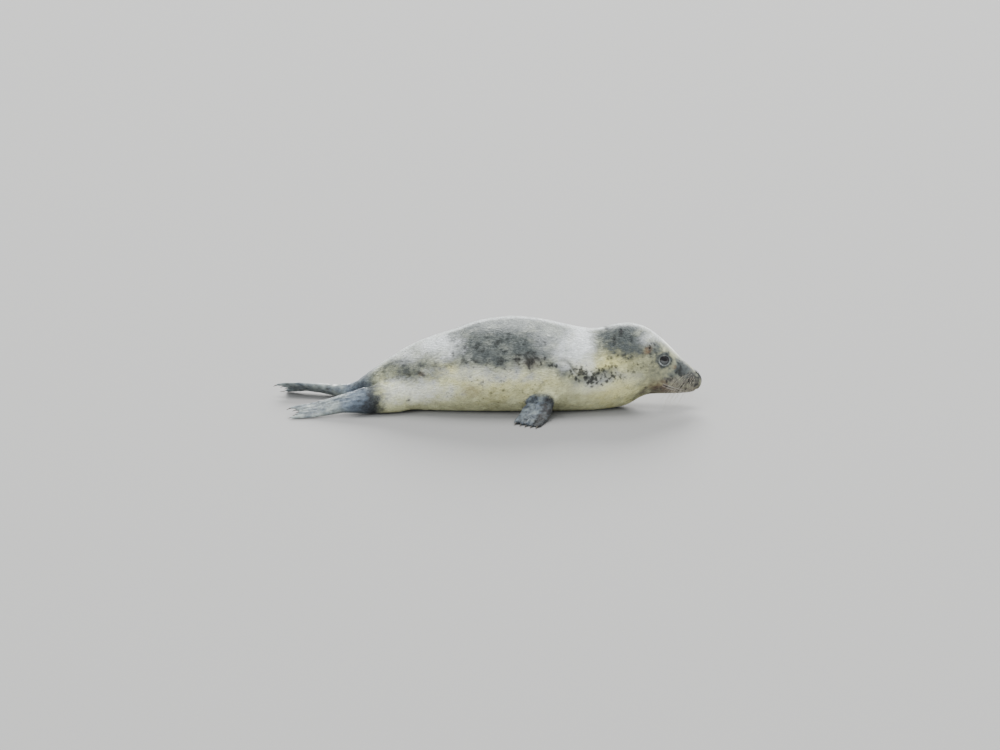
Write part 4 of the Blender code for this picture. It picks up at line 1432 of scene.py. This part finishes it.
class SEAL_OT_whiskers(bpy.types.Operator):
    """Sets rows of whiskers in the muzzle pads and a few over each eye"""

    bl_idname = "seal.whiskers"
    bl_label = "Whiskers"

    def execute(self, context):
        sizes = context.scene.seal_whiskers
        bm = bmesh.new()
        bm.from_mesh(context.scene.objects["skin"].data)
        tree = BVHTree.FromBMesh(bm)
        bm.free()
        finish = Finish("whisker")
        root = finish.attribute("tip")
        tone = finish.mix(((0.10 - root) * 9).clamped(), sizes.straw, (0.05, 0.045, 0.04))
        material = finish.surface(Base_Color=tone, Roughness=0.35, Specular_IOR_Level=0.5)
        dice = np.random.default_rng(SEED + 1)
        template = whisker_shape()
        shape = points_of(template)
        hairs = []
        for sign, share, height, far, brow in whisker_places(dice):
            start = Vector((along(share), MID + sign * 0.2, height * HEIGHT))
            hit, normal, *_ = tree.ray_cast(start, Vector((0, -sign, 0)))
            if hit is not None:
                length = sizes.longest * far
                hairs.append(whisker_points(shape, hit, normal, length, sizes.thick, brow, dice))
        tips = np.tile(shape[:, 0], len(hairs))
        piece, _ = many("whiskers", template, np.array(hairs), material, {"tip": tips})
        return {"FINISHED"}


# -------------------------------------------------------------- the stage


# Each lamp's name, the way to it, its power, its width in degrees and its colour.
LAMPS = (
    ("key", (0.15, 0.35, 0.92), 3.6, 40, (1.0, 0.99, 0.97)),
    ("rim", (0.05, 0.93, 0.34), 6.5, 24, (1.0, 1.0, 0.98)),
    ("fill", (-0.30, -0.75, 0.55), 2.1, 60, (0.97, 0.99, 1.0)),
)


def add(scene, name, data):
    """A new object in the scene."""
    made = bpy.data.objects.new(name, data)
    scene.collection.objects.link(made)
    return made


def lay_floor(scene, stage):
    """A wide plain floor."""
    finish = Finish("floor")
    bm = bmesh.new()
    bmesh.ops.create_grid(bm, x_segments=1, y_segments=1, size=40)
    mesh = mesh_of("floor", bm)
    mesh.materials.append(finish.surface(Base_Color=tuple(stage.floor), Roughness=0.9))
    add(scene, "floor", mesh)


def light_up(scene):
    """A pale even sky and the lamps."""
    world = bpy.data.worlds.new("soft_sky")
    world.use_nodes = True
    background = world.node_tree.nodes["Background"]
    background.inputs["Color"].default_value = (0.90, 0.95, 1.0, 1.0)
    background.inputs["Strength"].default_value = 1.05
    scene.world = world
    for name, way, power, soft, tint in LAMPS:
        light = bpy.data.lights.new(name, "SUN")
        light.energy, light.angle, light.color = power, math.radians(soft), tint
        lamp = add(scene, name, light)
        lamp.rotation_euler = Vector(way).to_track_quat("Z", "Y").to_euler()
        lamp.visible_glossy = name != "fill"


def set_camera(scene, stage):
    """A camera that looks along +Y and down at the seal from its right side."""
    camera = bpy.data.cameras.new("camera")
    camera.sensor_width = 36
    camera.lens = camera.sensor_width * stage.distance / stage.width
    camera.clip_end = 100
    slope = stage.elevation
    upward = Vector((0, math.sin(slope), math.cos(slope)))
    ahead = Vector((0, math.cos(slope), -math.sin(slope)))
    centre = Vector(((CAD_BOX[0].x + CAD_BOX[1].x) / 2, MID, 0))
    aim = centre + Vector((VIEW_SHIFT, 0, 0)) + upward * VIEW_RISE
    viewer = add(scene, "camera", camera)
    viewer.location = aim - ahead * stage.distance
    viewer.rotation_euler = (math.radians(90) - slope, 0, 0)
    scene.camera = viewer


class SEAL_OT_stage(bpy.types.Operator):
    """Lays a plain pale floor, soft studio light and the camera"""

    bl_idname = "seal.stage"
    bl_label = "Stage"

    def execute(self, context):
        scene = context.scene
        lay_floor(scene, scene.seal_stage)
        light_up(scene)
        set_camera(scene, scene.seal_stage)
        return {"FINISHED"}


class SEAL_PT_panel(bpy.types.Panel):
    """Sizes and colours of the seal, and a button for each of its pieces"""

    bl_idname = "SEAL_PT_panel"
    bl_label = "Grey Seal"
    bl_space_type = "VIEW_3D"
    bl_region_type = "UI"
    bl_category = "Seal"

    def draw(self, context):
        for operator, (name, group) in zip(OPERATORS, GROUPS.items()):
            box = self.layout.box()
            box.operator(operator.bl_idname)
            for label in group.__annotations__:
                box.prop(getattr(context.scene, name), label)


GROUPS = {
    "seal_pelt": SealPelt,
    "seal_coat": SealCoat,
    "seal_eyes": SealEyes,
    "seal_claws": SealClaws,
    "seal_whiskers": SealWhiskers,
    "seal_stage": SealStage,
}
OPERATORS = (SEAL_OT_skin, SEAL_OT_coat, SEAL_OT_eyes, SEAL_OT_claws, SEAL_OT_whiskers, SEAL_OT_stage)


def register():
    """Adds the classes and the scene's settings."""
    for made in (*GROUPS.values(), *OPERATORS, SEAL_PT_panel):
        bpy.utils.register_class(made)
    for name, group in GROUPS.items():
        setattr(bpy.types.Scene, name, bpy.props.PointerProperty(type=group))


def unregister():
    """Takes them away again."""
    for name in GROUPS:
        delattr(bpy.types.Scene, name)
    for made in reversed((*GROUPS.values(), *OPERATORS, SEAL_PT_panel)):
        bpy.utils.unregister_class(made)


def main():
    """Registers the add-on and builds every piece."""
    register()
    for operator in OPERATORS:
        name = operator.bl_idname.split(".")[1]
        getattr(bpy.ops.seal, name)()


if __name__ == "__main__":
    main()
